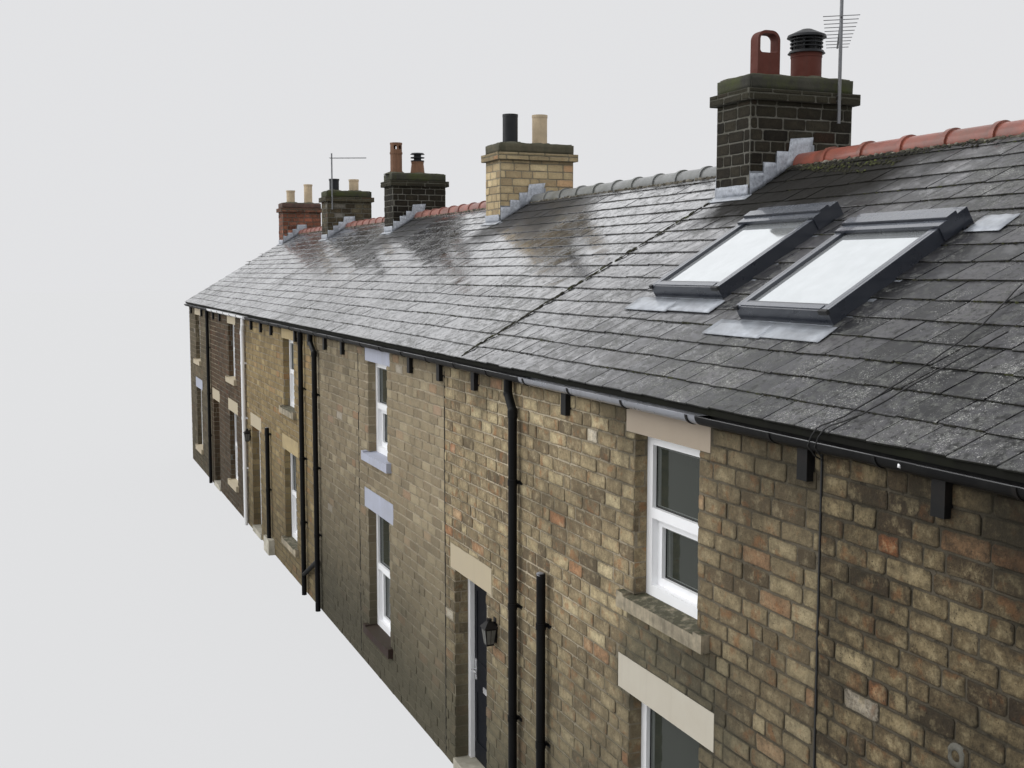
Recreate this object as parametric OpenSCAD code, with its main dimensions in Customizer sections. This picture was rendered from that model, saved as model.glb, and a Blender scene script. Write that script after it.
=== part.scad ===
// A row of six terraced houses, two storeys high, under one slate roof.
// X runs along the row, the front faces -Y and Z is up. The ground is at Z = 0.

/* [Row] */
// Width of houses one and two, from party wall to party wall
house_wide_w = 6360; // [6300:10:6400]
// Width of house three
house_3_w = 6500; // [6450:10:6550]
// Width of house four
house_4_w = 5760; // [5700:10:5800]
// Width of houses five and six
house_narrow_w = 5440; // [5400:10:5480]
// Depth of the row from front wall face to rear wall face
row_depth = 6040; // [6000:10:6080]
// Thickness of the front and rear walls
wall_t = 300; // [290:5:310]
// Thickness of the party walls
party_t = 240; // [230:5:240]

/* [Brickwork changes] */
// Distance from the first party wall to the first straight joint in the brick front
joint_off_1 = 1350; // [1300:10:1400]
// The same beside the doorway of house three
joint_off_2 = 1350; // [1300:10:1400]
// The same between the pale and the yellow front
joint_off_3 = 860; // [800:10:900]
// The same behind the white downpipe
joint_off_4 = 1600; // [1560:10:1640]
// The same beside the last doorway
joint_off_5 = 1360; // [1320:10:1400]
// Distance the end walls stand in from the ends of the roof
verge = 20; // [15:1:25]

/* [Heights] */
// Top of the ground floor slab
ground_floor_z = 100; // [90:5:110]
// Top of the upper floor
upper_floor_z = 2420; // [2400:10:2440]
// Thickness of the floors
floor_t = 150; // [140:5:160]
// Top of the front and rear walls
wall_top_z = 4340; // [4320:5:4345]
// Height of the slates where the two slopes meet
ridge_z = 6250; // [6225:1:6260]
// Height of the slates at their lower edge
eaves_z = 4350; // [4345:1:4360]
// Distance the slates reach beyond the wall face
eaves_out = 95; // [85:5:105]
// Thickness of the slate covering, square to the slope
slate_t = 45; // [40:1:50]
// Gap between the tops of the walls and the slates
roof_gap = 3; // [2:1:5]
// Gap at which pieces that rest on each other are drawn
seat = 0.3; // [0.2:0.1:0.5]

/* [Windows] */
// Width of the upper window openings
up_w = 880; // [860:10:900]
// Sill height of the upper windows
up_z0 = 2870; // [2850:5:2890]
// Head height of the upper windows
up_z1 = 4040; // [4030:5:4050]
// Width of the lower window openings
low_w = 980; // [960:10:1000]
// Sill height of the lower windows
low_z0 = 570; // [550:5:590]
// Head height of the lower windows
low_z1 = 2120; // [2110:5:2130]
// Depth of the brick reveal in front of each window
win_recess = 100; // [90:5:110]
// Depth of the window frames
frame_d = 112; // [108:1:118]
// Face width of the outer frame members
frame_w = 78; // [70:1:82]
// Face width of the sash members
sash_w = 58; // [52:1:62]
// Half the height of the cross rail
rail_h = 38; // [34:1:42]
// Height of the cross rail as a share of the window
rail_at = 0.515; // [0.49:0.005:0.54]
// Distance the lower sash lies behind the face of the outer frame
sash_back = 50; // [44:1:54]
// Distance the glass lies behind the face that holds it
glass_back = 36; // [30:1:38]
// Thickness of the glass
glass_t = 14; // [10:1:18]
// Distance from far party wall to window centre, houses one and two
win_off_1 = 3300; // [3280:10:3320]
// The same for house three
win_off_3 = 2535; // [2520:5:2550]
// The same for house four
win_off_4 = 2740; // [2720:10:2760]
// The same for house five
win_off_5 = 1990; // [1970:10:2010]
// The same for house six
win_off_6 = 1750; // [1740:10:1770]

/* [Lintels and sills] */
// Height of the lower lintels
lintel_h = 255; // [245:5:265]
// Height of the upper lintels
up_lintel_h = 190; // [180:5:200]
// Depth of the lintels into the wall
lintel_d = 140; // [130:5:150]
// Length of the upper lintels
up_lintel_w = 1140; // [1120:10:1160]
// Length of the lower lintels
low_lintel_w = 1330; // [1300:10:1350]
// Length of the door lintels
door_lintel_w = 1190; // [1160:10:1200]
// Length of the sills
sill_w = 1190; // [1180:10:1220]
// Height of the sills
sill_h = 120; // [110:5:130]
// Distance the sills stand out of the wall
sill_out = 65; // [55:5:75]
// Length of the raised seat at each end of a sill
stool_w = 105; // [100:5:110]
// Fall of the sill top between the seats
sill_fall = 22; // [16:1:28]

/* [Doors] */
// Width of the doorways
door_w = 920; // [910:5:920]
// Distance from near party wall centre to doorway centre
door_off = 590; // [590:5:600]
// Depth of the brick reveal in front of the door frames
door_recess = 140; // [130:5:150]
// Depth of the door frames
door_frame_d = 92; // [90:1:96]
// Face width of the door frames
door_frame_w = 68; // [64:1:72]
// Thickness of the door leaves
leaf_t = 46; // [42:1:48]
// Gap around each door leaf
leaf_gap = 6; // [6:1:8]
// Height of the thresholds
threshold_z = 112; // [110:1:116]
// Height of the door handles
handle_z = 1080; // [1050:10:1100]
// Radius of the hinge barrels
hinge_r = 7; // [6:1:8]
// Height of each hinge
hinge_h = 90; // [80:5:100]

/* [Rainwater goods] */
// Outside radius of the half-round gutters
gutter_r = 58; // [56:1:60]
// Wall thickness of the gutters
gutter_t = 4; // [4:1:6]
// Height of the gutter rims
gutter_z = 4283; // [4275:1:4290]
// Radius of the downpipes
pipe_r = 39; // [37:1:40]
// Distance from the wall face to the downpipe centre
pipe_out = 70; // [68:1:74]
// Spacing of the black blocks under the gutter
block_step = 1054; // [1050:1:1058]
// Distance from the first party wall to the block beside it
block_off = 1465; // [1455:5:1475]
// Width of the blocks
block_w = 92; // [84:2:100]
// Distance the blocks stand out of the wall
block_out = 52; // [46:2:58]
// Height of the underside of the blocks
block_z = 4040; // [4030:5:4050]
// Spacing of the straps around the gutters
strap_step = 900; // [880:10:920]
// Width of the straps
strap_w = 26; // [22:1:30]
// Distance from the second party wall to the far end of the grey gutter
grey_off = 990; // [950:10:1030]
// Length of the grey gutter
grey_l = 2900; // [2800:10:3000]
// Distance the white gutter starts beyond its party wall
white_off = 950; // [900:10:1000]
// Length of the white gutter
white_l = 5400; // [5350:10:5450]
// Distance from the party wall of house two to its downpipe
pipe_2_off = 705; // [690:5:720]
// The same to the short pipe beside it
short_2_off = 1340; // [1320:10:1360]
// Height of that short pipe
short_2_z = 2660; // [2600:10:2700]
// Distance from the joint of house four back to the pipe on its near side
pipe_3_off = 120; // [110:5:130]
// The same to the pipe on its far side
pipe_4_off = 870; // [850:10:890]
// Distance from the party wall of house five to its short pipe
short_5_off = 980; // [960:10:1000]
// Height of that short pipe
short_5_z = 2330; // [2300:10:2360]
// Distance from each second party wall to a downpipe on the rear
rear_pipe_off = 620; // [610:5:640]
// Height of the upper end of the branch pipe
branch_z1 = 780; // [740:10:800]
// Height of the lower end of the branch pipe
branch_z0 = 330; // [300:10:360]
// Height of the bend at the head of a downpipe
neck_h = 190; // [180:5:200]

/* [Roof details] */
// Length of each ridge tile
ridge_tile_l = 515; // [505:5:525]
// Outside radius of the ridge tiles
ridge_r = 112; // [108:1:116]
// Wall thickness of the ridge tiles
ridge_t = 15; // [13:1:17]
// Outside radius of the raised collar on each ridge tile
collar_r = 130; // [126:1:134]
// Distance the ridge tiles are centred below the ridge of the slates
ridge_drop = 45; // [42:1:50]
// Width of the raised collars
collar_w = 50; // [44:1:56]
// Width of the roof windows along the row
sky_w = 1050; // [1030:10:1070]
// Length of the roof windows along the slope
sky_l = 1190; // [1170:10:1210]
// Height of the roof window frames above the slates
sky_h = 112; // [100:2:118]
// Width of the side members of the roof windows
sky_rim = 75; // [68:1:80]
// Length of the hood at the top of the roof windows
hood_l = 170; // [160:5:180]
// Distance the hood stands beyond the frame
hood_out = 12; // [8:1:14]
// Distance from the party wall to the first roof window
sky_off_1 = 2015; // [1990:5:2040]
// The same to the second roof window
sky_off_2 = 3625; // [3600:5:3650]
// Distance from the ridge line to the middle of the first roof window
sky_y_1 = 1600; // [1580:5:1620]
// The same for the second roof window
sky_y_2 = 1805; // [1790:5:1820]
// Length of the lead below each roof window
apron_l = 190; // [170:5:200]
// Distance the lead reaches beyond the side of a roof window
apron_out = 60; // [50:5:70]

/* [Chimneys] */
// Size of each chimney stack along the row
stack_w = 590; // [580:5:600]
// Size of the three near stacks across the row
stack_near_d = 1170; // [1160:10:1180]
// Size of the three far stacks across the row
stack_far_d = 1060; // [1050:10:1070]
// Top of the chimney stacks
stack_z = 7040; // [7000:10:7060]
// Top of the plain shaft, where a brick course steps out
shaft_z = 6800; // [6780:10:6820]
// Distance the stepped course stands out
oversail = 56; // [50:1:62]
// Height of the stepped course
oversail_h = 104; // [96:1:112]
// Distance from the party wall centre back to the far face of a stack
stack_back = 63; // [60:1:66]
// Height at which the stacks stand on the party walls
stack_base_z = 5200; // [5150:10:5250]
// Distance of the paired pots from the ridge line
pot_y = 245; // [235:5:255]
// Thickness of the sheet lead
lead_t = 5; // [4:0.5:6]
// Steps of lead on each half of a stack side
lead_steps = 4; // [3:1:5]
// Height of the stepped lead above the slates
lead_h = 240; // [225:5:255]
// Reach of the lead that lies on the slates below a stack
lead_reach = 120; // [110:5:130]
// Outside radius of the common pots
pot_r = 113; // [108:1:118]
// Wall thickness of the pots
pot_t = 20; // [17:1:23]
// Width of the pot with the round head
hood_pot_w = 256; // [248:2:264]
// Thickness of that pot along the row
hood_pot_d = 128; // [116:2:140]
// Height of the pot with the round head
hood_pot_h = 470; // [455:5:485]
// Radius of the pot below the louvred cowl
cowl_pot_r = 150; // [144:1:156]
// Height of the pot below the louvred cowl
cowl_pot_h = 286; // [276:2:296]
// Height of the louvred cowl
cowl_h = 238; // [230:2:246]
// Radius of the cap of the louvred cowl
cowl_r = 193; // [186:1:200]
// Height of the pair of pots on the first stack
near_pot_h = 330; // [320:5:340]
// Height of the black pot of house three
black_pot_h = 450; // [440:5:460]
// Height of the cream pot of house three
cream_pot_h = 460; // [450:5:470]
// Height of the pair of pots of house five
far_pot_h = 300; // [290:5:310]
// Height of the front pot on the last stack
last_pot_h = 540; // [530:5:550]
// Height of the rear pot on the last stack
last_low_pot_h = 360; // [350:5:370]
// Height of the tall pot with two holes
tall_pot_h = 600; // [580:10:620]
// Height of the tapered pot
taper_pot_h = 255; // [245:5:265]
// Height of the tall mast above the ground
mast_2_z = 8500; // [8450:10:8550]
// Distance of the tall mast from the ridge line
mast_2_y = 370; // [360:5:380]
// Length of the boom on the tall mast
boom_2_l = 1720; // [1650:10:1760]
// Height of that boom
boom_2_z = 7620; // [7580:10:7660]
// Height of the far mast above the ground
mast_5_z = 7900; // [7850:10:7950]
// Distance of the far mast from the ridge line
mast_5_y = 430; // [420:5:440]
// Length of the boom on the far mast
boom_5_l = 850; // [820:10:880]
// Height of that boom
boom_5_z = 7790; // [7750:10:7830]
// Radius of the masts
mast_r = 17; // [15:1:19]

/* [Wall lanterns] */
// Height of the underside of the first lantern
lantern_3_z = 1680; // [1650:10:1710]
// Distance from the party wall of house two to the first lantern
lantern_3_off = 120; // [110:5:130]
// Height of the underside of the second lantern
lantern_5_z = 1780; // [1750:10:1810]
// Distance from the party wall of house four to the second lantern
lantern_5_off = 1230; // [1210:5:1240]
// Distance of the lanterns from the wall
lantern_out = 71; // [70:0.5:72]
// Half the width of the lanterns from corner to corner
lantern_r = 84; // [78:1:84]

/* [Hidden] */
half_d = row_depth / 2;
half_l = (2 * house_wide_w + house_3_w + house_4_w + 2 * house_narrow_w) / 2;
wall_end = half_l - verge;
eaves_y = half_d + eaves_out;
slope = (ridge_z - eaves_z) / eaves_y;
pitch = atan(slope);
slate_v = slate_t / cos(pitch);
inner_d = half_d - wall_t;
// Planes between the houses, from the near end (+X) to the far end
plane_x = [
  half_l,
  half_l - house_wide_w,
  half_l - 2 * house_wide_w,
  half_l - 2 * house_wide_w - house_3_w,
  half_l - 2 * house_wide_w - house_3_w - house_4_w,
  half_l - 2 * house_wide_w - house_3_w - house_4_w - house_narrow_w,
  -half_l
];
win_off = [win_off_1, win_off_1, win_off_3, win_off_4, win_off_5, win_off_6];
// A house has a front doorway where the number here is 1
has_door = [1, 1, 1, 0, 1, 1];
// Doorways whose leaf opens
opens = [2, 4, 5];
// Brick fronts from joint to joint
joint_x = [
  wall_end,
  plane_x[1] - joint_off_1,
  plane_x[2] - joint_off_2,
  plane_x[3] - joint_off_3,
  plane_x[4] - joint_off_4,
  plane_x[5] - joint_off_5,
  -wall_end
];
sky_x = [plane_x[2] + sky_off_1, plane_x[2] + sky_off_2];
sky_y = [-sky_y_1, -sky_y_2];
block_x1 = plane_x[1] - block_off;
leaf_w = door_w - 2 * door_frame_w - 2 * leaf_gap;
leaf_top = low_z1 - door_frame_w - leaf_gap;
leaf_z0 = threshold_z + leaf_gap;
leaf_y = door_recess + door_frame_d - leaf_t;
cowl_fn = 32;
gutter_y = half_d + 20 + gutter_r;
gutter_under = gutter_z - gutter_r - seat;
grey_x0 = plane_x[2] + grey_off;
grey_x1 = grey_x0 + grey_l;
white_x1 = plane_x[4] - white_off;
white_x0 = white_x1 - white_l;
pipe_2_x = plane_x[2] + pipe_2_off;
pipe_3_x = joint_x[3] + pipe_3_off;
pipe_4_x = joint_x[3] - pipe_4_off;
// Sideways reach of the bends at the heads of three downpipes
neck_2 = -110;
neck_3 = -250;
neck_5 = 90;
// Places along the gutter that a downpipe or its bend takes up, as from and to
front_heads = [
  [pipe_2_x + neck_2, pipe_2_x], [pipe_3_x + neck_3, pipe_3_x], [pipe_4_x, pipe_4_x],
  [joint_x[4], joint_x[4] + neck_5], [joint_x[5], joint_x[5]]
];
rear_pipes = [for (k = [0, 1, 3, 5]) plane_x[k + 1] + rear_pipe_off];
rear_heads = [for (x = rear_pipes) [x, x]];
hinge_x = leaf_w / 2 + leaf_gap / 2;
hinge_y = door_recess + door_frame_d + hinge_r;
hinge_z = [280, 1030, 1780];

function slate_top(y) = ridge_z - slope * abs(y);
function slate_under(y) = slate_top(y) - slate_v;
function win_x(k) = plane_x[k + 1] + win_off[k];
function door_x(k) = (k == 0 ? wall_end - party_t / 2 : plane_x[k]) - door_off;
function room_x0(k) = k == 5 ? -wall_end + party_t : plane_x[k + 1] + party_t / 2;
function room_x1(k) = k == 0 ? wall_end - party_t : plane_x[k] - party_t / 2;
function stack_d(k) = k < 3 ? stack_near_d : stack_far_d;
function stack_x(k) = k == 5 ? -half_l + oversail + stack_w / 2 : plane_x[k + 1] - stack_back + stack_w / 2;
function near(a, b, c) = a > b && a < c;
function clear_of_heads(x, room, heads) =
  len([for (h = heads) if (x > h[0] - room && x < h[1] + room) h]) == 0;
function clear_of_windows(x) =
  len([for (k = [0:5]) if (abs(win_x(k) - x) < up_lintel_w / 2 + block_w) k]) == 0;

// A block from corner to corner
module block(x0, x1, y0, y1, z0, z1) {
  translate([x0, y0, z0])
    cube([x1 - x0, y1 - y0, z1 - z0]);
}

// Puts a front detail at a wall, s = 1 for the front and -1 for the rear
module at_wall(x, s = 1) {
  mirror([0, s < 0 ? 1 : 0, 0])
    translate([x, -half_d, 0])
      children();
}

// Everything that is cut from a wall for one window with its lintel and sill
module window_cut(w, z0, z1, lw, lh) {
  block(-w / 2, w / 2, -10, wall_t + 10, z0 - sill_h, z1);
  block(-lw / 2, lw / 2, -10, lintel_d, z1, z1 + lh);
  block(-sill_w / 2, sill_w / 2, -10, win_recess, z0 - sill_h, z0);
}

// Both windows of a house cut from its wall
module window_cuts(k, s = 1) {
  at_wall(win_x(k), s) {
    window_cut(up_w, up_z0, up_z1, up_lintel_w, up_lintel_h);
    window_cut(low_w, low_z0, low_z1, low_lintel_w, lintel_h);
  }
}

// The doorway of a house cut from its wall, with the seat of its lintel
module door_cut(k, s = 1) {
  at_wall(door_x(k), s) {
    block(-door_w / 2, door_w / 2, -10, wall_t + 10, -10, low_z1);
    block(-door_lintel_w / 2, door_lintel_w / 2, -10, lintel_d, low_z1, low_z1 + lintel_h);
  }
}

// A front wall between two places along the row, with its openings cut out
module front_wall(x0, x1) {
  difference() {
    block(x0, x1, -half_d, -inner_d, 0, wall_top_z);
    for (k = [0:5])
      if (near(win_x(k), x0, x1))
        window_cuts(k);
    for (k = [0:5])
      if (has_door[k] == 1)
        door_cut(k);
  }
}

module front_wall_1() {
  color("peru") front_wall(joint_x[1], joint_x[0]);
}

module front_wall_2() {
  color("burlywood") front_wall(door_x(2) + door_w / 2, joint_x[1]);
}

module front_wall_3() {
  color("tan") front_wall(joint_x[3], joint_x[2]);
}

module front_wall_4() {
  color("darkkhaki") front_wall(door_x(4) + door_w / 2, joint_x[3]);
}

module front_wall_5() {
  color("rosybrown") front_wall(door_x(5) + door_w / 2, joint_x[4]);
}

module front_wall_6() {
  color("wheat") front_wall(joint_x[6], joint_x[5]);
}

// The brick piers on the far side of the doorways that open
module door_piers() {
  color("burlywood")
    for (i = [0:2]) {
      k = opens[i];
      x0 = [joint_x[2], joint_x[4], joint_x[5]][i];
      difference() {
        block(x0, door_x(k) - door_w / 2, -half_d, -inner_d, 0, wall_top_z);
        door_cut(k);
      }
    }
}

// The brickwork above the doorways that open
module walls_over_doors() {
  color("burlywood")
    for (k = opens)
      difference() {
        block(door_x(k) - door_w / 2, door_x(k) + door_w / 2, -half_d, -inner_d,
              low_z1, wall_top_z);
        door_cut(k);
      }
}

// The rear walls, one for each house
module rear_walls() {
  color("tan")
    for (k = [0:5])
      difference() {
        block(max(plane_x[k + 1], -wall_end), min(plane_x[k], wall_end),
              inner_d, half_d, 0, wall_top_z);
        window_cuts(k, -1);
        for (j = [0:5])
          door_cut(j, -1);
      }
}

// The gabled outline of a wall that closes a house from side to side
module gable_outline(d) {
  polygon([
    [-d, 0], [d, 0], [d, slate_under(d) - roof_gap],
    [0, slate_under(0) - roof_gap], [-d, slate_under(d) - roof_gap]
  ]);
}

// One wall across the row, with its top cut down to carry the chimney stack
module cross_wall(x, t, notch) {
  difference() {
    translate([x - t / 2, 0, 0])
      rotate([90, 0, 90])
        linear_extrude(t)
          gable_outline(inner_d);
    if (notch)
      block(x - t, x + t, -stack_near_d / 2, stack_near_d / 2, stack_base_z, ridge_z);
  }
}

module party_walls() {
  color("gray")
    for (k = [1:5])
      cross_wall(plane_x[k], party_t, true);
}

// The plain walls that end the row
module end_walls() {
  color("tan") {
    cross_wall(wall_end - party_t / 2, party_t, false);
    cross_wall(-wall_end + party_t / 2, party_t, true);
  }
}

// Ground floor and upper floor of every house
module floors() {
  color("dimgray")
    for (k = [0:5]) {
      block(room_x0(k), room_x1(k), -inner_d, inner_d, 0, ground_floor_z);
      block(room_x0(k), room_x1(k), -inner_d, inner_d, upper_floor_z - floor_t, upper_floor_z);
    }
}

// The slates of one slope between two planes, s = 1 for the front
module slope_slab(x0, x1, s) {
  mirror([0, s < 0 ? 1 : 0, 0])
    translate([x0, 0, 0])
      rotate([90, 0, 90])
        linear_extrude(x1 - x0)
          polygon([
            [-eaves_y, slate_top(eaves_y)], [0, ridge_z],
            [0, ridge_z - slate_v], [-eaves_y, slate_top(eaves_y) - slate_v]
          ]);
}

module stack_hole(k) {
  block(stack_x(k) - stack_w / 2, stack_x(k) + stack_w / 2, -stack_d(k) / 2, stack_d(k) / 2,
        stack_base_z, stack_z);
}

module slates(k, s) {
  difference() {
    slope_slab(plane_x[k + 1], plane_x[k], s);
    stack_hole(k);
    if (k > 0)
      stack_hole(k - 1);
  }
}

// Places things on the front slope, with Z square to the slates and Y up the slope
module on_slope(x, y) {
  translate([x, y, slate_top(y)])
    rotate([pitch, 0, 0])
      children();
}

module slates_front() {
  color("dimgray")
    for (k = [0, 2, 3, 4, 5])
      slates(k, 1);
}

// The slates of the house with the roof windows, open under both windows
module slates_window_bay() {
  color("dimgray")
    difference() {
      slates(1, 1);
      for (i = [0, 1])
        on_slope(sky_x[i], sky_y[i])
          block(-sky_w / 2 + 40, sky_w / 2 - 40, -sky_l / 2 + 40, sky_l / 2 - 40, -200, 150);
    }
}

module slates_rear() {
  color("dimgray")
    for (k = [0:5])
      slates(k, -1);
}

// Half-round tiles along the ridge, each with a raised collar at its near end
module ridge_run(x0, x1) {
  n = round((x1 - x0) / ridge_tile_l);
  step = (x1 - x0) / n;
  translate([0, 0, ridge_z - ridge_drop])
    rotate([0, 90, 0])
      difference() {
        union() {
          translate([0, 0, x0])
            cylinder(r = ridge_r, h = x1 - x0, $fn = 32);
          for (i = [1:n])
            translate([0, 0, x0 + i * step - collar_w - 12])
              cylinder(r = collar_r, h = collar_w, $fn = 32);
        }
        translate([0, 0, x0 - 5])
          cylinder(r = ridge_r - ridge_t, h = x1 - x0 + 10, $fn = 32);
        translate([0, 0, x0 - 5])
          linear_extrude(x1 - x0 + 10)
            polygon([
              [-ridge_drop, 0], [200, (ridge_drop + 200) / slope], [200, -(ridge_drop + 200) / slope]
            ]);
      }
}

function ridge_x0(k) = stack_x(k) + stack_w / 2 + lead_t + seat;
function ridge_x1(k) = k == 0 ? half_l : stack_x(k - 1) - stack_w / 2 - lead_t - seat;

module ridge_orange() {
  color("indianred") {
    ridge_run(ridge_x0(0), ridge_x1(0));
    ridge_run(ridge_x0(1), ridge_x1(1));
  }
}

module ridge_grey() {
  color("darkslategray") ridge_run(ridge_x0(2), ridge_x1(2));
}

module ridge_red() {
  color("brown")
    for (k = [3, 4, 5])
      ridge_run(ridge_x0(k), ridge_x1(k));
}

// One chimney stack with a course that steps out below its top
module stack(k) {
  d = stack_d(k) / 2;
  w = stack_w / 2;
  translate([stack_x(k), 0, 0]) {
    block(-w, w, -d, d, stack_base_z, stack_z);
    block(-w - oversail, w + oversail, -d - oversail, d + oversail, shaft_z, shaft_z + oversail_h);
  }
}

module chimneys_dark() {
  color("darkslategray")
    for (k = [0, 1, 3])
      stack(k);
}

module chimney_tan() {
  color("darkkhaki") stack(2);
}

module chimney_brown() {
  color("saddlebrown") stack(4);
}

module chimney_red() {
  color("firebrick") stack(5);
}

// Stepped lead along both sides of a stack and sloping lead at its front and back
module stack_flashing(k) {
  d = stack_d(k) / 2;
  run = d / lead_steps;
  low = slate_top(d);
  for (sx = (k == 5 ? [1] : [-1, 1]))
    for (sy = [-1, 1])
      mirror([0, sy > 0 ? 1 : 0, 0])
        translate([stack_x(k) + (sx > 0 ? stack_w / 2 : -stack_w / 2 - lead_t), 0, 0])
          rotate([90, 0, 90])
            linear_extrude(lead_t)
              polygon(concat(
                [[0, ridge_z + seat], [-d, low + seat]],
                [for (i = [0:2 * lead_steps - 1])
                  let (j = floor((i + 1) / 2))
                  [-d + j * run, low + slope * run * floor(i / 2) + lead_h]]
              ));
  for (sy = [-1, 1])
    mirror([0, sy > 0 ? 1 : 0, 0]) {
      on_slope(stack_x(k), -d)
        block(k == 5 ? -stack_w / 2 : -stack_w / 2 - lead_reach, stack_w / 2 + lead_reach,
              -lead_reach, -2, seat, seat + lead_t);
      block(stack_x(k) - stack_w / 2, stack_x(k) + stack_w / 2, -d - lead_t, -d,
            low + 12, low + lead_h / 3);
    }
}

module chimney_flashings() {
  color("gray")
    for (k = [0:5])
      stack_flashing(k);
}

// A plain round pot, open at the top, with rims of the given depth
module pot(x, y, r, h, rim = 5) {
  translate([x, y, stack_z])
    difference() {
      union() {
        cylinder(r = r, h = h, $fn = 32);
        cylinder(r = r + rim, h = 40, $fn = 32);
        translate([0, 0, h - 40])
          cylinder(r = r + rim, h = 40, $fn = 32);
      }
      translate([0, 0, 30])
        cylinder(r = r - pot_t, h = h, $fn = 32);
    }
}

// The flat-sided pot with a round head and a wide hole through it
module hooded_pot(x, y) {
  w = hood_pot_w / 2;
  h = hood_pot_h;
  r = w * 0.75;
  hole = w * 0.78;
  translate([x, y, stack_z])
    rotate([90, 0, 90])
      translate([0, 0, -hood_pot_d / 2])
        difference() {
          union() {
            linear_extrude(hood_pot_d)
              union() {
                translate([-w, 0])
                  square([2 * w, h - r]);
                translate([-w + r, h - r])
                  square([2 * (w - r), r]);
                for (sx = [-1, 1])
                  translate([sx * (w - r), h - r])
                    circle(r = r, $fn = 40);
              }
            translate([-w - 12, 0, -10])
              cube([2 * w + 24, 56, hood_pot_d + 20]);
          }
          translate([0, 0, -20])
            linear_extrude(hood_pot_d + 40)
              union() {
                translate([-hole + 30, h - 212])
                  square([2 * hole - 60, 40]);
                translate([-hole, h - 182])
                  square([2 * hole, 92]);
                translate([-hole + 60, h - 120])
                  square([2 * hole - 120, 90]);
                for (sx = [-1, 1]) {
                  translate([sx * (hole - 60), h - 90])
                    circle(r = 60, $fn = 40);
                  translate([sx * (hole - 30), h - 182])
                    circle(r = 30, $fn = 32);
                }
              }
        }
}

// The tall pot with a banded head and two holes through it
module tall_pot(x, y) {
  h = tall_pot_h;
  translate([x, y, stack_z])
    difference() {
      union() {
        cylinder(r = pot_r, h = h, $fn = 32);
        cylinder(r = pot_r + 12, h = 60, $fn = 32);
        translate([0, 0, h - 215])
          cylinder(r = pot_r + 10, h = 36, $fn = 32);
        translate([0, 0, h - 30])
          cylinder(r = pot_r + 6, h = 30, $fn = 32);
      }
      translate([0, 0, 30])
        cylinder(r = pot_r - pot_t, h = h - 60, $fn = 32);
      for (sy = [-1, 1])
        translate([0, sy * 46, h - 92])
          cube([400, 56, 74], center = true);
    }
}

// The pot that narrows towards its top
module tapered_pot(x, y) {
  h = taper_pot_h;
  translate([x, y, stack_z])
    difference() {
      union() {
        cylinder(r1 = pot_r + 30, r2 = pot_r, h = h, $fn = 32);
        translate([0, 0, h - 30])
          cylinder(r = pot_r + 10, h = 30, $fn = 32);
      }
      translate([0, 0, 30])
        cylinder(r = pot_r - pot_t, h = h, $fn = 32);
    }
}

module pots_red() {
  color("firebrick") {
    hooded_pot(stack_x(1), -pot_y + 10);
    pot(stack_x(1), pot_y, cowl_pot_r, cowl_pot_h);
    pot(stack_x(0), -pot_y, pot_r, near_pot_h, 14);
    tall_pot(stack_x(3), -370);
    tapered_pot(stack_x(3), 60);
  }
}

module pots_pale() {
  color("wheat") {
    pot(stack_x(2), 165, pot_r, cream_pot_h);
    pot(stack_x(0), pot_y, pot_r, near_pot_h, 14);
    pot(stack_x(4), 185, pot_r, far_pot_h, 10);
    pot(stack_x(5), -pot_y, pot_r, last_low_pot_h, 12);
    pot(stack_x(5), pot_y, pot_r, last_pot_h, 12);
  }
}

// The open louvred cap on the short pot of house two, on posts
module louvred_cowl(x, y) {
  h = cowl_h;
  translate([x, y, stack_z + cowl_pot_h]) {
    translate([0, 0, seat])
      cylinder(r1 = cowl_r - 10, r2 = cowl_r - 28, h = 26, $fn = cowl_fn);
    cylinder(r = 24, h = h - 60, $fn = cowl_fn);
    for (i = [0:7])
      rotate([0, 0, i * 45])
        translate([cowl_r - 55, 0, 4])
          cylinder(r = 9, h = h - 80, $fn = 12);
    for (z = [58, 94, 130])
      translate([0, 0, z])
        cylinder(r = cowl_r - 32, h = 11, $fn = cowl_fn);
    translate([0, 0, h - 84])
      cylinder(r1 = cowl_r, r2 = cowl_r - 8, h = 24, $fn = cowl_fn);
    translate([0, 0, h - 60])
      cylinder(r1 = cowl_r - 8, r2 = 50, h = 60, $fn = cowl_fn);
  }
}

// The two-tier cap over the tapered pot
module tiered_cap(x, y) {
  translate([x, y, stack_z + taper_pot_h + seat]) {
    cylinder(r = pot_r + 18, h = 22, $fn = cowl_fn);
    cylinder(r = pot_r - 40, h = 150, $fn = cowl_fn);
    translate([0, 0, 66])
      cylinder(r = pot_r + 22, h = 18, $fn = cowl_fn);
    translate([0, 0, 138])
      cylinder(r1 = pot_r + 28, r2 = pot_r + 4, h = 26, $fn = cowl_fn);
  }
}

module pots_black() {
  color("black") {
    pot(stack_x(2), -310, pot_r, black_pot_h, 3);
    pot(stack_x(4), -290, pot_r, far_pot_h, 10);
    louvred_cowl(stack_x(1), pot_y);
    tiered_cap(stack_x(3), 60);
  }
}

// A mast strapped to the near face of a stack
module mast(k, y, z_top) {
  x = stack_x(k) + stack_w / 2 + oversail + mast_r + 6;
  translate([x, y, shaft_z - 190])
    cylinder(r = mast_r, h = z_top - shaft_z + 190, $fn = 16);
  for (z = [shaft_z + 20, shaft_z + oversail_h - 34])
    translate([x - mast_r - 6, y - 20, z])
      cube([mast_r + 6, 40, 14]);
}

// A boom with cross rods that grow shorter along it, turned about its mast
module rod_aerial(k, y, z, turn, l, rods, half_w) {
  x = stack_x(k) + stack_w / 2 + oversail + mast_r + 6;
  translate([x, y, z])
    rotate([0, 0, turn]) {
      translate([-0.05 * l, 0, 0])
        rotate([0, 90, 0])
          cylinder(r = 10, h = l, $fn = 16);
      for (i = [0:rods - 1])
        translate([-0.04 * l + i * (l * 0.97) / (rods - 1), 0, 0])
          rotate([90, 0, 0])
            cylinder(r = 4, h = 2 * half_w * (1 - 0.035 * i), center = true, $fn = 12);
    }
}

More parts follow.
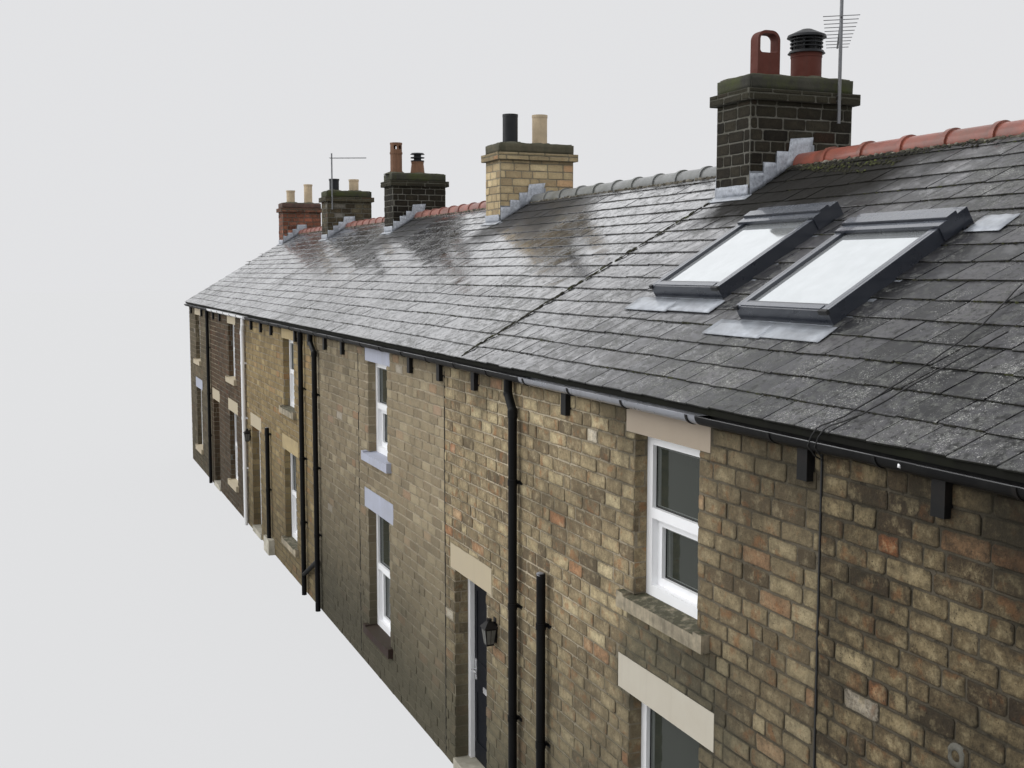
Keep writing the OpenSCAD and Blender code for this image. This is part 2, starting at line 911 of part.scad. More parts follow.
module aerials() {
  color("gray") {
    mast(1, mast_2_y, mast_2_z);
    rod_aerial(1, mast_2_y, boom_2_z, 144, boom_2_l, 10, 172);
    mast(4, -mast_5_y, mast_5_z);
    rod_aerial(4, -mast_5_y, boom_5_z, 66, boom_5_l, 7, 110);
  }
}

// A plain lintel with its face 4 mm proud of the wall
module lintel(x, w, z, h, s = 1) {
  at_wall(x, s)
    block(-w / 2, w / 2, -4, lintel_d, z, z + h);
}

module up_lintel(k, s = 1) {
  lintel(win_x(k), up_lintel_w, up_z1, up_lintel_h, s);
}

module low_lintel(k, s = 1) {
  lintel(win_x(k), low_lintel_w, low_z1, lintel_h, s);
}

module door_lintel(k, s = 1) {
  lintel(door_x(k), door_lintel_w, low_z1, lintel_h, s);
}

module lintels_cream() {
  color("moccasin") {
    for (k = [0, 1, 4, 5])
      up_lintel(k);
    for (k = [0, 1, 4])
      low_lintel(k);
    for (k = [0, 1, 2, 4, 5])
      door_lintel(k);
  }
}

module lintels_blue() {
  color("lightsteelblue") {
    up_lintel(2);
    low_lintel(2);
    low_lintel(5);
  }
}

module lintels_stone() {
  color("darkkhaki") {
    up_lintel(3);
    low_lintel(3);
    for (k = [0:5]) {
      up_lintel(k, -1);
      low_lintel(k, -1);
      door_lintel(k, -1);
    }
  }
}

// A weathered sill: a seat at each end and a top that falls outwards between them
module sill(x, z, w, s = 1) {
  at_wall(x, s) {
    difference() {
      block(-sill_w / 2, sill_w / 2, -sill_out, win_recess, z - sill_h, z);
      translate([-sill_w / 2 + stool_w, 0, z])
        rotate([90, 0, 90])
          linear_extrude(sill_w - 2 * stool_w)
            polygon([
              [win_recess - 12, 0], [-sill_out - 5, -sill_fall],
              [-sill_out - 5, 20], [win_recess - 12, 20]
            ]);
      translate([0, -sill_out + 22, z - sill_h])
        cube([sill_w + 10, 12, 20], center = true);
    }
    block(-w / 2, w / 2, win_recess, win_recess + frame_d, z - sill_h, z);
  }
}

module up_sill(k, s = 1) {
  sill(win_x(k), up_z0, up_w, s);
}

module low_sill(k, s = 1) {
  sill(win_x(k), low_z0, low_w, s);
}

module sills_stone() {
  color("darkgray") {
    for (k = [0, 1, 3]) {
      up_sill(k);
      low_sill(k);
    }
    for (k = [0:5]) {
      up_sill(k, -1);
      low_sill(k, -1);
    }
  }
}

module sill_blue() {
  color("lightsteelblue") up_sill(2);
}

module sill_red() {
  color("maroon") low_sill(2);
}

module sills_cream() {
  color("wheat")
    for (k = [4, 5]) {
      up_sill(k);
      low_sill(k);
    }
}

// A window frame with a cross rail and an inset lower sash
module window_frame(w, z0, z1) {
  mid = z0 + (z1 - z0) * rail_at;
  difference() {
    block(-w / 2, w / 2, win_recess, win_recess + frame_d, z0, z1);
    block(-w / 2 + frame_w, w / 2 - frame_w, win_recess - 5, win_recess + frame_d + 5,
          mid + rail_h, z1 - frame_w);
    block(-w / 2 + frame_w + sash_w, w / 2 - frame_w - sash_w,
          win_recess - 5, win_recess + frame_d + 5,
          z0 + frame_w + sash_w, mid - rail_h - sash_w);
    block(-w / 2 + frame_w, w / 2 - frame_w, win_recess - 5, win_recess + sash_back,
          z0 + frame_w, mid - rail_h);
  }
}

// The two panes of a window
module window_pane(w, z0, z1) {
  mid = z0 + (z1 - z0) * rail_at;
  y0 = win_recess + glass_back;
  y1 = y0 + sash_back;
  block(-w / 2 + frame_w, w / 2 - frame_w, y0, y0 + glass_t, mid + rail_h, z1 - frame_w);
  block(-w / 2 + frame_w + sash_w, w / 2 - frame_w - sash_w, y1, y1 + glass_t,
        z0 + frame_w + sash_w, mid - rail_h - sash_w);
}

module all_window_frames(s) {
  for (k = [0:5])
    at_wall(win_x(k), s) {
      window_frame(up_w, up_z0, up_z1);
      window_frame(low_w, low_z0, low_z1);
    }
}

module all_window_glass(s) {
  for (k = [0:5])
    at_wall(win_x(k), s) {
      window_pane(up_w, up_z0, up_z1);
      window_pane(low_w, low_z0, low_z1);
    }
}

module window_frames() {
  color("white") all_window_frames(1);
}

module window_glass() {
  color([0.3, 0.35, 0.4, 0.4]) all_window_glass(1);
}

module rear_window_frames() {
  color("white") all_window_frames(-1);
}

module rear_window_glass() {
  color([0.3, 0.35, 0.4, 0.4]) all_window_glass(-1);
}

// Two jambs and a head, each a piece of its own
module door_frame(k, s = 1) {
  y1 = door_recess + door_frame_d;
  at_wall(door_x(k), s) {
    for (sx = [-1, 1])
      mirror([sx < 0 ? 1 : 0, 0, 0])
        block(door_w / 2 - door_frame_w, door_w / 2, door_recess, y1, threshold_z, low_z1);
    block(-door_w / 2 + door_frame_w + 0.3, door_w / 2 - door_frame_w - 0.3, door_recess, y1,
          low_z1 - door_frame_w, low_z1);
  }
}

module door_frames() {
  color("white") {
    for (k = [0:5])
      if (has_door[k] == 1)
        door_frame(k);
    for (k = [0:5])
      door_frame(k, -1);
  }
}

module threshold(k, s = 1) {
  at_wall(door_x(k), s)
    block(-door_w / 2, door_w / 2, -30, wall_t, 0, threshold_z);
}

module thresholds() {
  color("silver") {
    for (k = [0:5])
      if (has_door[k] == 1)
        threshold(k);
    for (k = [0:5])
      threshold(k, -1);
  }
}

// A door leaf with two sunk panels above and two below
module leaf(side = 0) {
  y0 = leaf_y;
  difference() {
    block(-leaf_w / 2 - side, leaf_w / 2 + side, y0, y0 + leaf_t,
          leaf_z0 - side, leaf_top + side);
    for (sx = [-1, 1]) {
      translate([sx * leaf_w / 4 - sx * 8, 0, 0]) {
        block(-130, 130, y0 - 5, y0 + 7, leaf_z0 + 190, leaf_z0 + 730);
        block(-130, 130, y0 - 5, y0 + 7, leaf_z0 + 1060, leaf_top - 130);
        block(-130, 130, y0 + leaf_t - 7, y0 + leaf_t + 5, leaf_z0 + 190, leaf_z0 + 730);
        block(-130, 130, y0 + leaf_t - 7, y0 + leaf_t + 5, leaf_z0 + 1060, leaf_top - 130);
      }
    }
  }
}

// Lever handles on both faces and a letter plate
module leaf_fittings() {
  for (s = [0, 1])
    translate([-leaf_w / 2 + 52, leaf_y + s * leaf_t, handle_z])
      mirror([0, s, 0]) {
        block(-17, 17, -8, 0, -110, 110);
        rotate([90, 0, 0])
          cylinder(r = 10, h = 50, $fn = 20);
        translate([-8, -48, 0])
          rotate([0, 90, 0])
            cylinder(r = 9, h = 130, $fn = 20);
      }
  block(-125, 125, leaf_y - 8, leaf_y, handle_z - 185, handle_z - 125);
}

module hung_leaf(k) {
  at_wall(door_x(k))
    leaf();
}

// The fittings of a leaf that opens, with hinge plates that turn about the barrels
module hung_fittings(k) {
  at_wall(door_x(k)) {
    leaf_fittings();
    for (z = hinge_z)
      difference() {
        block(hinge_x - 33, hinge_x - 3, hinge_y - hinge_r, hinge_y - hinge_r + 3,
              z + 2, z + hinge_h - 2);
        translate([hinge_x, hinge_y, z])
          cylinder(r = hinge_r + seat, h = hinge_h, $fn = 32);
      }
  }
}

// Hinge barrels with their plates on the inner face of the frame
module door_hinges() {
  color("gray")
    for (k = opens)
      at_wall(door_x(k))
        for (z = hinge_z) {
          translate([hinge_x, hinge_y, z])
            cylinder(r = hinge_r, h = hinge_h, $fn = 32);
          block(hinge_x + 4, hinge_x + 34, hinge_y - hinge_r, hinge_y - hinge_r + 3,
                z, z + hinge_h);
        }
}

module fixed_doors() {
  color("slategray") {
    for (k = [0, 1])
      at_wall(door_x(k)) {
        leaf(leaf_gap);
        leaf_fittings();
      }
    for (k = [0:5])
      at_wall(door_x(k), -1) {
        leaf(leaf_gap);
        leaf_fittings();
      }
  }
}

module door_3() {
  color("darkslategray") hung_leaf(2);
}

module door_3_fittings() {
  color("silver") hung_fittings(2);
}

module door_5() {
  color("saddlebrown") hung_leaf(4);
}

module door_5_fittings() {
  color("silver") hung_fittings(4);
}

module door_6() {
  color("saddlebrown") hung_leaf(5);
}

module door_6_fittings() {
  color("silver") hung_fittings(5);
}

// A half-round gutter with closed ends
module gutter(x0, x1, s = 1) {
  mirror([0, s < 0 ? 1 : 0, 0])
    translate([x0, -gutter_y, gutter_z])
      rotate([0, 90, 0])
        difference() {
          cylinder(r = gutter_r, h = x1 - x0, $fn = 32);
          translate([0, 0, 4])
            cylinder(r = gutter_r - gutter_t, h = x1 - x0 - 8, $fn = 32);
          translate([-100, -100, -5])
            cube([100, 200, x1 - x0 + 10]);
        }
}

module gutters_black() {
  color("black") {
    gutter(-half_l, white_x0 - 1);
    gutter(white_x1 + 1, grey_x0 - 1);
    gutter(grey_x1 + 1, half_l);
    gutter(-half_l, half_l, -1);
  }
}

module gutter_grey() {
  color("silver") gutter(grey_x0, grey_x1);
}

module gutter_white() {
  color("white") gutter(white_x0, white_x1);
}

// Black blocks on the wall head, and straps around the gutters
module gutter_brackets() {
  color("black") {
    for (i = [-6:26])
      let (x = block_x1 - i * block_step)
        if (near(x, -wall_end + block_w, wall_end - block_w) && clear_of_windows(x)
            && clear_of_heads(x, block_w, front_heads))
          block(x - block_w / 2, x + block_w / 2, -half_d - block_out, -half_d,
                block_z, gutter_under);
    for (i = [-19:19])
      let (x = i * strap_step) {
        if (clear_of_heads(x, pipe_r + strap_w + 10, front_heads))
          gutter_strap(x);
        if (clear_of_heads(x, pipe_r + strap_w + 10, rear_heads))
          mirror([0, 1, 0])
            gutter_strap(x);
      }
  }
}

// A strap around the outside of the gutter with its tail on the wall
module gutter_strap(x) {
  translate([x - strap_w / 2, -gutter_y, gutter_z])
    rotate([0, 90, 0])
      difference() {
        cylinder(r = gutter_r + 6, h = strap_w, $fn = 32);
        translate([0, 0, -5])
          cylinder(r = gutter_r + seat, h = strap_w + 10, $fn = 32);
        translate([-100, -100, -5])
          cube([100, 200, strap_w + 10]);
      }
  block(x - strap_w / 2, x + strap_w / 2, -half_d - 15, -half_d, gutter_z - 40, gutter_z - 4);
}

// A downpipe from the ground up, with collars and clips to the wall
module downpipe(x, z_top, s = 1) {
  mirror([0, s < 0 ? 1 : 0, 0])
    translate([x, -half_d - pipe_out, 0]) {
      cylinder(r = pipe_r, h = z_top, $fn = 24);
      for (z = [1150, 2180, 3300])
        if (z < z_top - 100) {
          translate([0, 0, z])
            cylinder(r = pipe_r + 5, h = 55, $fn = 24);
          translate([-66, pipe_out - 10, z + 8])
            cube([132, 10, 30]);
          translate([-10, 0, z + 12])
            cube([20, pipe_out - 1, 30]);
        }
    }
}

// A straight outlet under the gutter that meets the pipe
module straight_head(x, s = 1) {
  mirror([0, s < 0 ? 1 : 0, 0])
    translate([x, -half_d - pipe_out, gutter_under - neck_h])
      cylinder(r = pipe_r + 5, h = neck_h, $fn = 24);
}

// An offset bend that brings the pipe sideways under the gutter outlet
module swan_neck(x, dx, z_top) {
  r = pipe_r;
  h = z_top - neck_h;
  translate([x, -half_d - pipe_out, 0]) {
    translate([0, 0, h - 130])
      cylinder(r = r + 6, h = 60, $fn = 24);
    translate([0, 0, h - 70])
      sphere(r = r + 4, $fn = 24);
    translate([dx, 0, h + 70])
      sphere(r = r + 4, $fn = 24);
    translate([0, 0, h - 70])
      rotate([0, atan2(dx, 140), 0])
        cylinder(r = r, h = sqrt(dx * dx + 140 * 140), $fn = 24);
    translate([dx, 0, h + 70])
      cylinder(r = r, h = z_top - h - 70, $fn = 24);
  }
}

// The sloping pipe that joins the two pipes of house four near the ground
module branch_pipe() {
  l = pipe_3_x - pipe_4_x;
  translate([pipe_4_x, -half_d - pipe_out, branch_z0])
    rotate([0, atan2(l, branch_z1 - branch_z0), 0])
      cylinder(r = pipe_r - 3, h = norm([l, branch_z1 - branch_z0]), $fn = 24);
}

module downpipes_black() {
  color("black") {
    downpipe(pipe_2_x, gutter_under - neck_h - 70);
    swan_neck(pipe_2_x, neck_2, gutter_under);
    downpipe(plane_x[2] + short_2_off, short_2_z);
    downpipe(pipe_4_x, gutter_under - neck_h);
    straight_head(pipe_4_x);
    downpipe(pipe_3_x, gutter_under - neck_h - 70);
    swan_neck(pipe_3_x, neck_3, gutter_under);
    branch_pipe();
    downpipe(plane_x[4] + short_5_off, short_5_z);
    downpipe(joint_x[5], gutter_under - neck_h);
    straight_head(joint_x[5]);
    for (x = rear_pipes) {
      downpipe(x, gutter_under - neck_h, -1);
      straight_head(x, -1);
    }
  }
}

module downpipe_white() {
  color("white") {
    downpipe(joint_x[4], gutter_under - neck_h - 70);
    swan_neck(joint_x[4], neck_5, gutter_under);
  }
}

// Frame of a roof window: side members, a bottom rail and a two-tier hood at the top
module roof_window_frame() {
  w = sky_w / 2;
  l = sky_l / 2;
  r = sky_rim;
  difference() {
    block(-w, w, -l, l, seat, sky_h);
    block(-w + r, w - r, -l + r + 10, l - hood_l, -5, sky_h + 5);
    translate([-w - 5, -l - 1, sky_h])
      rotate([45, 0, 0])
        cube([sky_w + 10, 16, 16]);
  }
  block(-w + r, w - r, -l + r + 10, l - hood_l, seat, 8);
  block(-w - hood_out, w + hood_out, l - hood_l - 20, l - 20, sky_h, sky_h + 18);
  block(-w - hood_out, w + hood_out, l - hood_l + 60, l - 20, sky_h + 18, sky_h + 36);
  block(-w - hood_out, w + hood_out, l - 20, l + 70, seat, sky_h + 12);
  for (sx = [-1, 1])
    block(sx > 0 ? w : -w - hood_out, sx > 0 ? w + hood_out : -w,
          l - hood_l - 20, l - 20, 22, sky_h);
}

module roof_window_frames() {
  color("darkslategray")
    for (i = [0, 1])
      on_slope(sky_x[i], sky_y[i])
        roof_window_frame();
}

module roof_window_glass() {
  r = sky_rim;
  color([0.7, 0.75, 0.8, 0.5])
    for (i = [0, 1])
      on_slope(sky_x[i], sky_y[i])
        block(-sky_w / 2 + r, sky_w / 2 - r, -sky_l / 2 + r + 10, sky_l / 2 - hood_l,
              sky_h - 34, sky_h - 20);
}

// Lead apron below each roof window and soakers along its sides up to the hood
module roof_window_flashings() {
  l = sky_l / 2;
  color("gray")
    for (i = [0, 1])
      on_slope(sky_x[i], sky_y[i]) {
        block(-sky_w / 2 - 2 * apron_out, sky_w / 2 + apron_out, -l - apron_l, -l, seat, 6);
        for (sx = [-1, 1])
          translate([sx * (sky_w + apron_out) / 2, 0, 0])
            block(-apron_out / 2, apron_out / 2, -l, l - 20, seat, 4);
      }
}

// A hanging wall lantern with a sloped cap, four glazed sides and a bracket
module lantern(x, z, out, r) {
  translate([x, -half_d - out, z]) {
    rotate([0, 0, 45])
      cylinder(r1 = r * 0.62, r2 = r, h = 170, $fn = 4);
    translate([0, 0, 170])
      rotate([0, 0, 45])
        cylinder(r1 = r * 1.18, r2 = r * 0.35, h = 60, $fn = 4);
    translate([0, 0, 230])
      cylinder(r = r * 0.3, h = 22, $fn = 16);
    translate([0, 0, 210])
      rotate([-90, 0, 0])
        cylinder(r = 11, h = out, $fn = 16);
  }
  block(x - 32, x + 32, -half_d - 16, -half_d, z + 20, z + 260);
}

module lanterns() {
  color("black") {
    lantern(plane_x[2] + lantern_3_off, lantern_3_z, lantern_out, lantern_r);
    lantern(plane_x[4] - lantern_5_off, lantern_5_z, lantern_out, lantern_r);
  }
}

// The thin cable clipped down the wall at the first straight joint
module wall_cable() {
  step = gutter_under / 4;
  color("black") {
    translate([joint_x[1], -half_d - 6, 0])
      cylinder(r = 6, h = gutter_under - 25, $fn = 16);
    for (i = [1:3])
      block(joint_x[1] - 14, joint_x[1] + 14, -half_d - 8, -half_d, i * step, i * step + 14);
  }
}

floors();
party_walls();
end_walls();
front_wall_1();
front_wall_2();
front_wall_3();
front_wall_4();
front_wall_5();
front_wall_6();
door_piers();
walls_over_doors();
rear_walls();
slates_front();
slates_window_bay();
slates_rear();
ridge_orange();
ridge_grey();
ridge_red();
chimneys_dark();
chimney_tan();
chimney_brown();
chimney_red();
chimney_flashings();
pots_red();
pots_pale();
pots_black();
aerials();
lintels_cream();
lintels_blue();
lintels_stone();
sills_stone();
sill_blue();
sill_red();
sills_cream();
window_frames();
window_glass();
rear_window_frames();
rear_window_glass();
door_frames();
door_hinges();
fixed_doors();
thresholds();
door_3();
door_3_fittings();
door_5();
door_5_fittings();
door_6();
door_6_fittings();
gutters_black();
gutter_grey();
gutter_white();
gutter_brackets();
downpipes_black();
downpipe_white();
roof_window_frames();
roof_window_glass();
roof_window_flashings();
lanterns();
wall_cable();
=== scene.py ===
import bpy
import random
from math import atan, copysign, cos, pi, radians, sin, tan
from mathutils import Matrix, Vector


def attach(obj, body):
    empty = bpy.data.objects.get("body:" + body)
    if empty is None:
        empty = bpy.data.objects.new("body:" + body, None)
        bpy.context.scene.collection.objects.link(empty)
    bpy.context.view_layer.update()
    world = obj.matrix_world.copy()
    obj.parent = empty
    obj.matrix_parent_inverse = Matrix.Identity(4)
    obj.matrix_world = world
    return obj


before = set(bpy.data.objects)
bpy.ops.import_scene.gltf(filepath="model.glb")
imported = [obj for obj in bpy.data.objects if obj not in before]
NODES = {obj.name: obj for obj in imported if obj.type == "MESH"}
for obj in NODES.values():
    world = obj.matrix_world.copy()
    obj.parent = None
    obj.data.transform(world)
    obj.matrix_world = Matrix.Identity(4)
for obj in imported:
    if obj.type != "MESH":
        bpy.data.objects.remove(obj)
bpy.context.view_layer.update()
BODY = "house_row"

# Sizes that part.scad also has, in metres
HALF_L = 17.93
WALL_END = 17.91
HALF_D = 3.02
RIDGE_Z = 6.25
EAVES_Z = 4.35
EAVES_Y = 3.115
SLOPE = (RIDGE_Z - EAVES_Z) / EAVES_Y
PITCH = atan(SLOPE)
SLOPE_L = EAVES_Y / cos(PITCH)
DOOR_HEAD = 2.12
STACK_HALF = 0.295
STACK_TOP = 7.04
CORBEL_Z = (6.8, 6.904)
CORBEL_OUT = 0.056

# Brickwork. Past FINE_BRICKS_X the bricks of the front have chipped corners
COURSE = 0.1107
JOINT = 0.012
BRICKS_TOP = 4.335
EMBED = 0.004
DOOR_DEPTH = 0.14  # of the bricks at the sides of a doorway
FINE_BRICKS_X = -9
UPRIGHT_JOINTS = (3.86, 0.32)
JOINT_SLOT = (0.314, 0.326, 0.05, 4.1)  # x from, x to, z from, z to of the second one
VENT = (11.29, 2.93)
END_STACK_X = 17  # past this a stack stands at an end of the row

# Slates, with heights above the CAD's. Past NEAR_X they have wider gaps and rougher tails
GAUGE = 0.215
SLATE_W = 0.295
SLATE_LEAN = 0.26
SLATE_END = HALF_L - 0.001
SLATE_LAP = 1.13
SLATE_TOP = 0.0125
SLATE_FALL = 0.0108
BEVEL = 0.004
ARRIS = 0.003
BED = 0.0005
ON_SLATES = 0.012
MOSS_END = HALF_L - 0.1
NEAR_X = 5.5

TURN = 6.2832
SEED = 11

# Brick fronts from the near end to the far end: x from, x to, finish
FRONTS = [
    (WALL_END, 10.22, "brick_near"), (10.22, 3.86, "brick_buff"), (3.86, -2.15, "brick_pale"),
    (-2.15, -8.65, "brick_yellow"), (-8.65, -13.85, "brick_brown"), (-13.85, -WALL_END, "brick_cream"),
]


def roof_z(y):
    """Height of the slates at a distance y from the ridge line."""
    return RIDGE_Z - SLOPE * abs(y)


def add_object(name, data):
    obj = bpy.data.objects.new(name, data)
    bpy.context.scene.collection.objects.link(obj)
    return obj


# ---------------------------------------------------------------- materials

MATERIALS = {}


class Shader:
    """A node material built up from procedural parts, in metres of the row frame."""

    def __init__(self, name):
        self.name = name
        self.mat = bpy.data.materials.new(name)
        self.mat.use_nodes = True
        self.tree = self.mat.node_tree
        self.bsdf = self.tree.nodes["Principled BSDF"]
        self.coord = self.add("TexCoord").outputs["Object"]

    def add(self, kind, **inputs):
        node = self.tree.nodes.new("ShaderNode" + kind)
        for key, value in inputs.items():
            self.put(node.inputs[key.replace("_", " ")], value)
        return node

    def put(self, socket, value):
        if hasattr(value, "links"):
            self.tree.links.new(value, socket)
        elif isinstance(value, (tuple, list)) and len(value) == 3 and socket.type == "RGBA":
            socket.default_value = (*value, 1.0)
        else:
            socket.default_value = value

    def noise(self, scale, detail=4.0, rough=0.6, stretch=(1, 1, 1), shift=(0, 0, 0), at=None):
        """Noise from 0 to 1 with scale features a metre."""
        place = self.add("Mapping", Vector=at or self.coord, Scale=stretch, Location=shift)
        tex = self.add("TexNoise", Vector=place.outputs[0], Scale=scale, Detail=detail,
                       Roughness=rough)
        return tex.outputs["Fac"]

    def runs(self):
        """Thin upright streaks, as rain leaves them."""
        return self.noise(16, 4, 0.6, stretch=(1, 1, 0.06), shift=(1, 6, 3))

    def own(self):
        """Coordinates moved away for each piece, so that no pattern runs on into the next."""
        node = self.add("VectorMath")
        node.operation = "MULTIPLY_ADD"
        self.put(node.inputs[0], self.attribute("tint"))
        node.inputs[1].default_value = (31, 17, 53)
        self.put(node.inputs[2], self.coord)
        return node.outputs[0]

    def up(self):
        """1 on faces that look up and 0 on upright ones."""
        normal = self.add("TexCoord").outputs["Normal"]
        return self.add("SeparateXYZ", Vector=normal).outputs["Z"]

    def axis(self, name):
        """The X, Y or Z coordinate in metres."""
        return self.add("SeparateXYZ", Vector=self.coord).outputs[name]

    def attribute(self, name):
        node = self.add("Attribute")
        node.attribute_name = name
        return node.outputs["Fac"]

    def span(self, value, a, b, lo=0.0, hi=1.0):
        """Value from a to b mapped to lo to hi and clamped."""
        node = self.add("MapRange", Value=value)
        for key, number in (("From Min", a), ("From Max", b), ("To Min", lo), ("To Max", hi)):
            self.put(node.inputs[key], number)
        return node.outputs[0]

    def band(self, value, a, b, c, d):
        """1 where value lies from b to c, falling to 0 at a and at d."""
        return self.times(self.span(value, a, b), self.span(value, d, c))

    def maths(self, op, total, *values):
        """Values joined one after another by a maths operation."""
        for value in values:
            node = self.add("Math")
            node.operation = op
            self.put(node.inputs[0], total)
            self.put(node.inputs[1], value)
            total = node.outputs[0]
        return total

    def plus(self, *values):
        return self.maths("ADD", *values)

    def times(self, *values):
        return self.maths("MULTIPLY", *values)

    def ramp(self, value, stops):
        node = self.add("ValToRGB", Fac=value)
        items = node.color_ramp.elements
        while len(items) < len(stops):
            items.new(0.5)
        for item, (place, colour) in zip(items, stops):
            item.position = place
            item.color = (*colour, 1.0)
        return node.outputs["Color"]

    def mix(self, factor, a, b, blend="MIX"):
        node = self.add("Mix")
        node.data_type = "RGBA"
        node.blend_type = blend
        for number, value in ((0, factor), (6, a), (7, b)):
            self.put(node.inputs[number], value)
        return node.outputs[2]

    def over(self, colour, *layers):
        """The colour under layers (tint, value, a, b, much): from none at a to much at b."""
        for tint, value, a, b, much in layers:
            colour = self.mix(self.span(value, a, b, 0.0, much), colour, tint)
        return colour

    def dim(self, colour, by):
        return self.mix(1.0, colour, by, "MULTIPLY")

    def bump(self, height, strength, distance, below=None):
        node = self.add("Bump", Height=height, Strength=strength, Distance=distance)
        if below is not None:
            self.put(node.inputs["Normal"], below)
        return node.outputs[0]

    def grain(self, scale, strength, distance, below=None):
        return self.bump(self.noise(scale, 3, 0.6), strength, distance, below)

    def finish(self, colour, rough, normal=None, metal=0.0, ior=1.5, coat=0.0, shine=0.5):
        """Sets the surface and keeps the material under its name."""
        values = {"Base Color": colour, "Roughness": rough, "Metallic": metal, "IOR": ior,
                  "Coat Weight": coat, "Specular IOR Level": shine}
        if normal is not None:
            values["Normal"] = normal
        for key, value in values.items():
            self.put(self.bsdf.inputs[key], value)
        MATERIALS[self.name] = self.mat


def grey(value):
    return (value, value, value)


# Tones of stock brick: sooty, brown, middling, yellow, pale, red and limed
STOCK = [(0.0, (0.048, 0.037, 0.024)), (0.25, (0.115, 0.086, 0.05)), (0.5, (0.2, 0.156, 0.088)),
         (0.74, (0.31, 0.25, 0.142)), (0.9, (0.45, 0.375, 0.225)), (0.96, (0.23, 0.095, 0.04)),
         (1.0, (0.47, 0.42, 0.33))]
RUST, RUST_ON = (0.2, 0.08, 0.028), 0.19  # its colour where the middle tone has this red
PIT = (0.012, 0.01, 0.008)


def shade(gain, tint=(1, 1, 1), spread=1.0):
    """The stock tones made lighter, tinted, and drawn towards the middle one by spread."""
    mid = STOCK[2][1]
    return [(p, tuple(min(1.0, (m + (v - m) * spread) * gain * t) for v, m, t in zip(c, mid, tint)))
            for p, c in STOCK]


def brick(name, stops, grime, rust, shades=None, foot_darkening=0.45, eaves=0.55, smear=(0.15, 0.125, 0.08),
          mottle=0.4):
    """Weathered stock brick: stops colour each brick by its tone, mottle says how uneven it is, and
    painted shade darkens each brick towards its edges.
    """
    s = Shader(name)
    own = s.own()
    dark, middle, light = stops[0][1], stops[2][1], stops[4][1]
    blot = s.noise(10, 6, 0.72, at=own)
    flame = s.noise(8, 4, 0.6, shift=(3, 9, 1), at=own)
    sand = s.noise(48, 5, 0.75, at=own)
    pits = s.noise(75, 3, 0.6, at=own)
    edge = s.plus(s.attribute("rim"), s.span(s.noise(30, 5, 0.75), 0.25, 0.75, -0.4, 0.4))
    lime = s.noise(4.5, 6, 0.72, shift=(8, 3, 2))
    darkening = 0.15 + 0.45 * mottle
    # The dark layer on edge paints shade towards each brick's edges and leaves its core lit
    colour = s.over(
        s.ramp(s.attribute("tone"), stops),
        (light, blot, 0.5, 0.64, 0.8 * mottle), (dark, blot, 0.47, 0.36, 0.85 * mottle),
        (tuple(c * middle[0] / RUST_ON for c in RUST), flame, 0.56, 0.66, rust),
        (dark, sand, 0.53, 0.66, darkening), (PIT, pits, 0.64, 0.69, 0.5 + 0.4 * mottle),
        (dark, edge, 0.85, 0.5, darkening), (smear, edge, 0.4, 0.1, 0.8), (light, lime, 0.61, 0.74, 0.35))
    colour = weathered(s, colour, grime, foot_darkening, eaves, shades)
    normal = s.bump(pits, 0.7, 0.006)
    normal = s.bump(sand, 0.9, 0.004, normal)
    normal = s.bump(blot, 0.9, 0.016, normal)
    s.finish(colour, s.span(blot, 0.2, 0.8, 0.8, 0.97), normal, shine=0.2)


def weathered(s, colour, grime, foot_darkening, eaves, shades):
    """Soot in patches, under a sill and on the stacks, painted shade under the eaves, and darker towards
    the wall's foot.

    Shades (x0, x1, g0, g1) take the colour times a grey that goes from g0 to g1 along the row.
    """
    soot = s.noise(1.3, 7, 0.68, shift=(7, 0, 4))
    x, z = s.axis("X"), s.axis("Z")
    wide = s.span(soot, 0.3, 0.7, -0.35, 0.35)
    high = s.plus(z, wide)
    cap = s.plus(z, s.span(soot, 0.3, 0.7, -0.12, 0.12))
    colour = s.over(colour, ((0.04, 0.036, 0.024), soot, 0.46, 0.62, grime),
                    # Painted shade under the eaves
                    ((0.04, 0.035, 0.022), high, 3.75, 4.4, eaves),
                    # Darker towards the wall's foot
                    ((0.045, 0.042, 0.029), high, 2.6, 0.5, foot_darkening),
                    ((0.045, 0.043, 0.027), cap, 6.68, 6.86, 0.45))
    sill = s.times(s.band(s.plus(x, wide), 7.7, 8.1, 9.2, 9.6), s.band(z, 1.7, 2.3, 2.7, 2.8))
    colour = s.mix(s.times(sill, 0.55), colour, (0.05, 0.052, 0.038))
    if shades:
        x0, x1, g0, g1 = shades
        along = s.span(s.plus(x, s.span(soot, 0.3, 0.7, -0.8, 0.8)), x0, x1)
        colour = s.dim(colour, s.mix(along, grey(g0), grey(g1)))
    return colour


def mortar(name, light, dark, shades=None, grime=0.25, foot_darkening=0.4, eaves=0.55):
    """Sandy mortar with washed-out and mossy places."""
    s = Shader(name)
    sand = s.noise(200, 3, 0.7)
    gone = s.noise(17, 5, 0.75, shift=(4, 1, 7))
    moss = s.noise(3.1, 5, 0.7, shift=(1, 4, 2))
    colour = s.over(light, (dark, s.noise(2.2, 6, 0.68), 0.42, 0.66, 1.0),
                    ((0.05, 0.043, 0.03), sand, 0.4, 0.7, 0.4),
                    ((0.05, 0.044, 0.033), gone, 0.56, 0.66, 0.75),
                    ((0.05, 0.053, 0.028), moss, 0.58, 0.7, 0.4))
    colour = weathered(s, colour, grime, foot_darkening, eaves, shades)
    normal = s.bump(sand, 0.7, 0.002)
    s.finish(colour, 0.95, s.bump(gone, 0.8, 0.01, normal), shine=0.2)


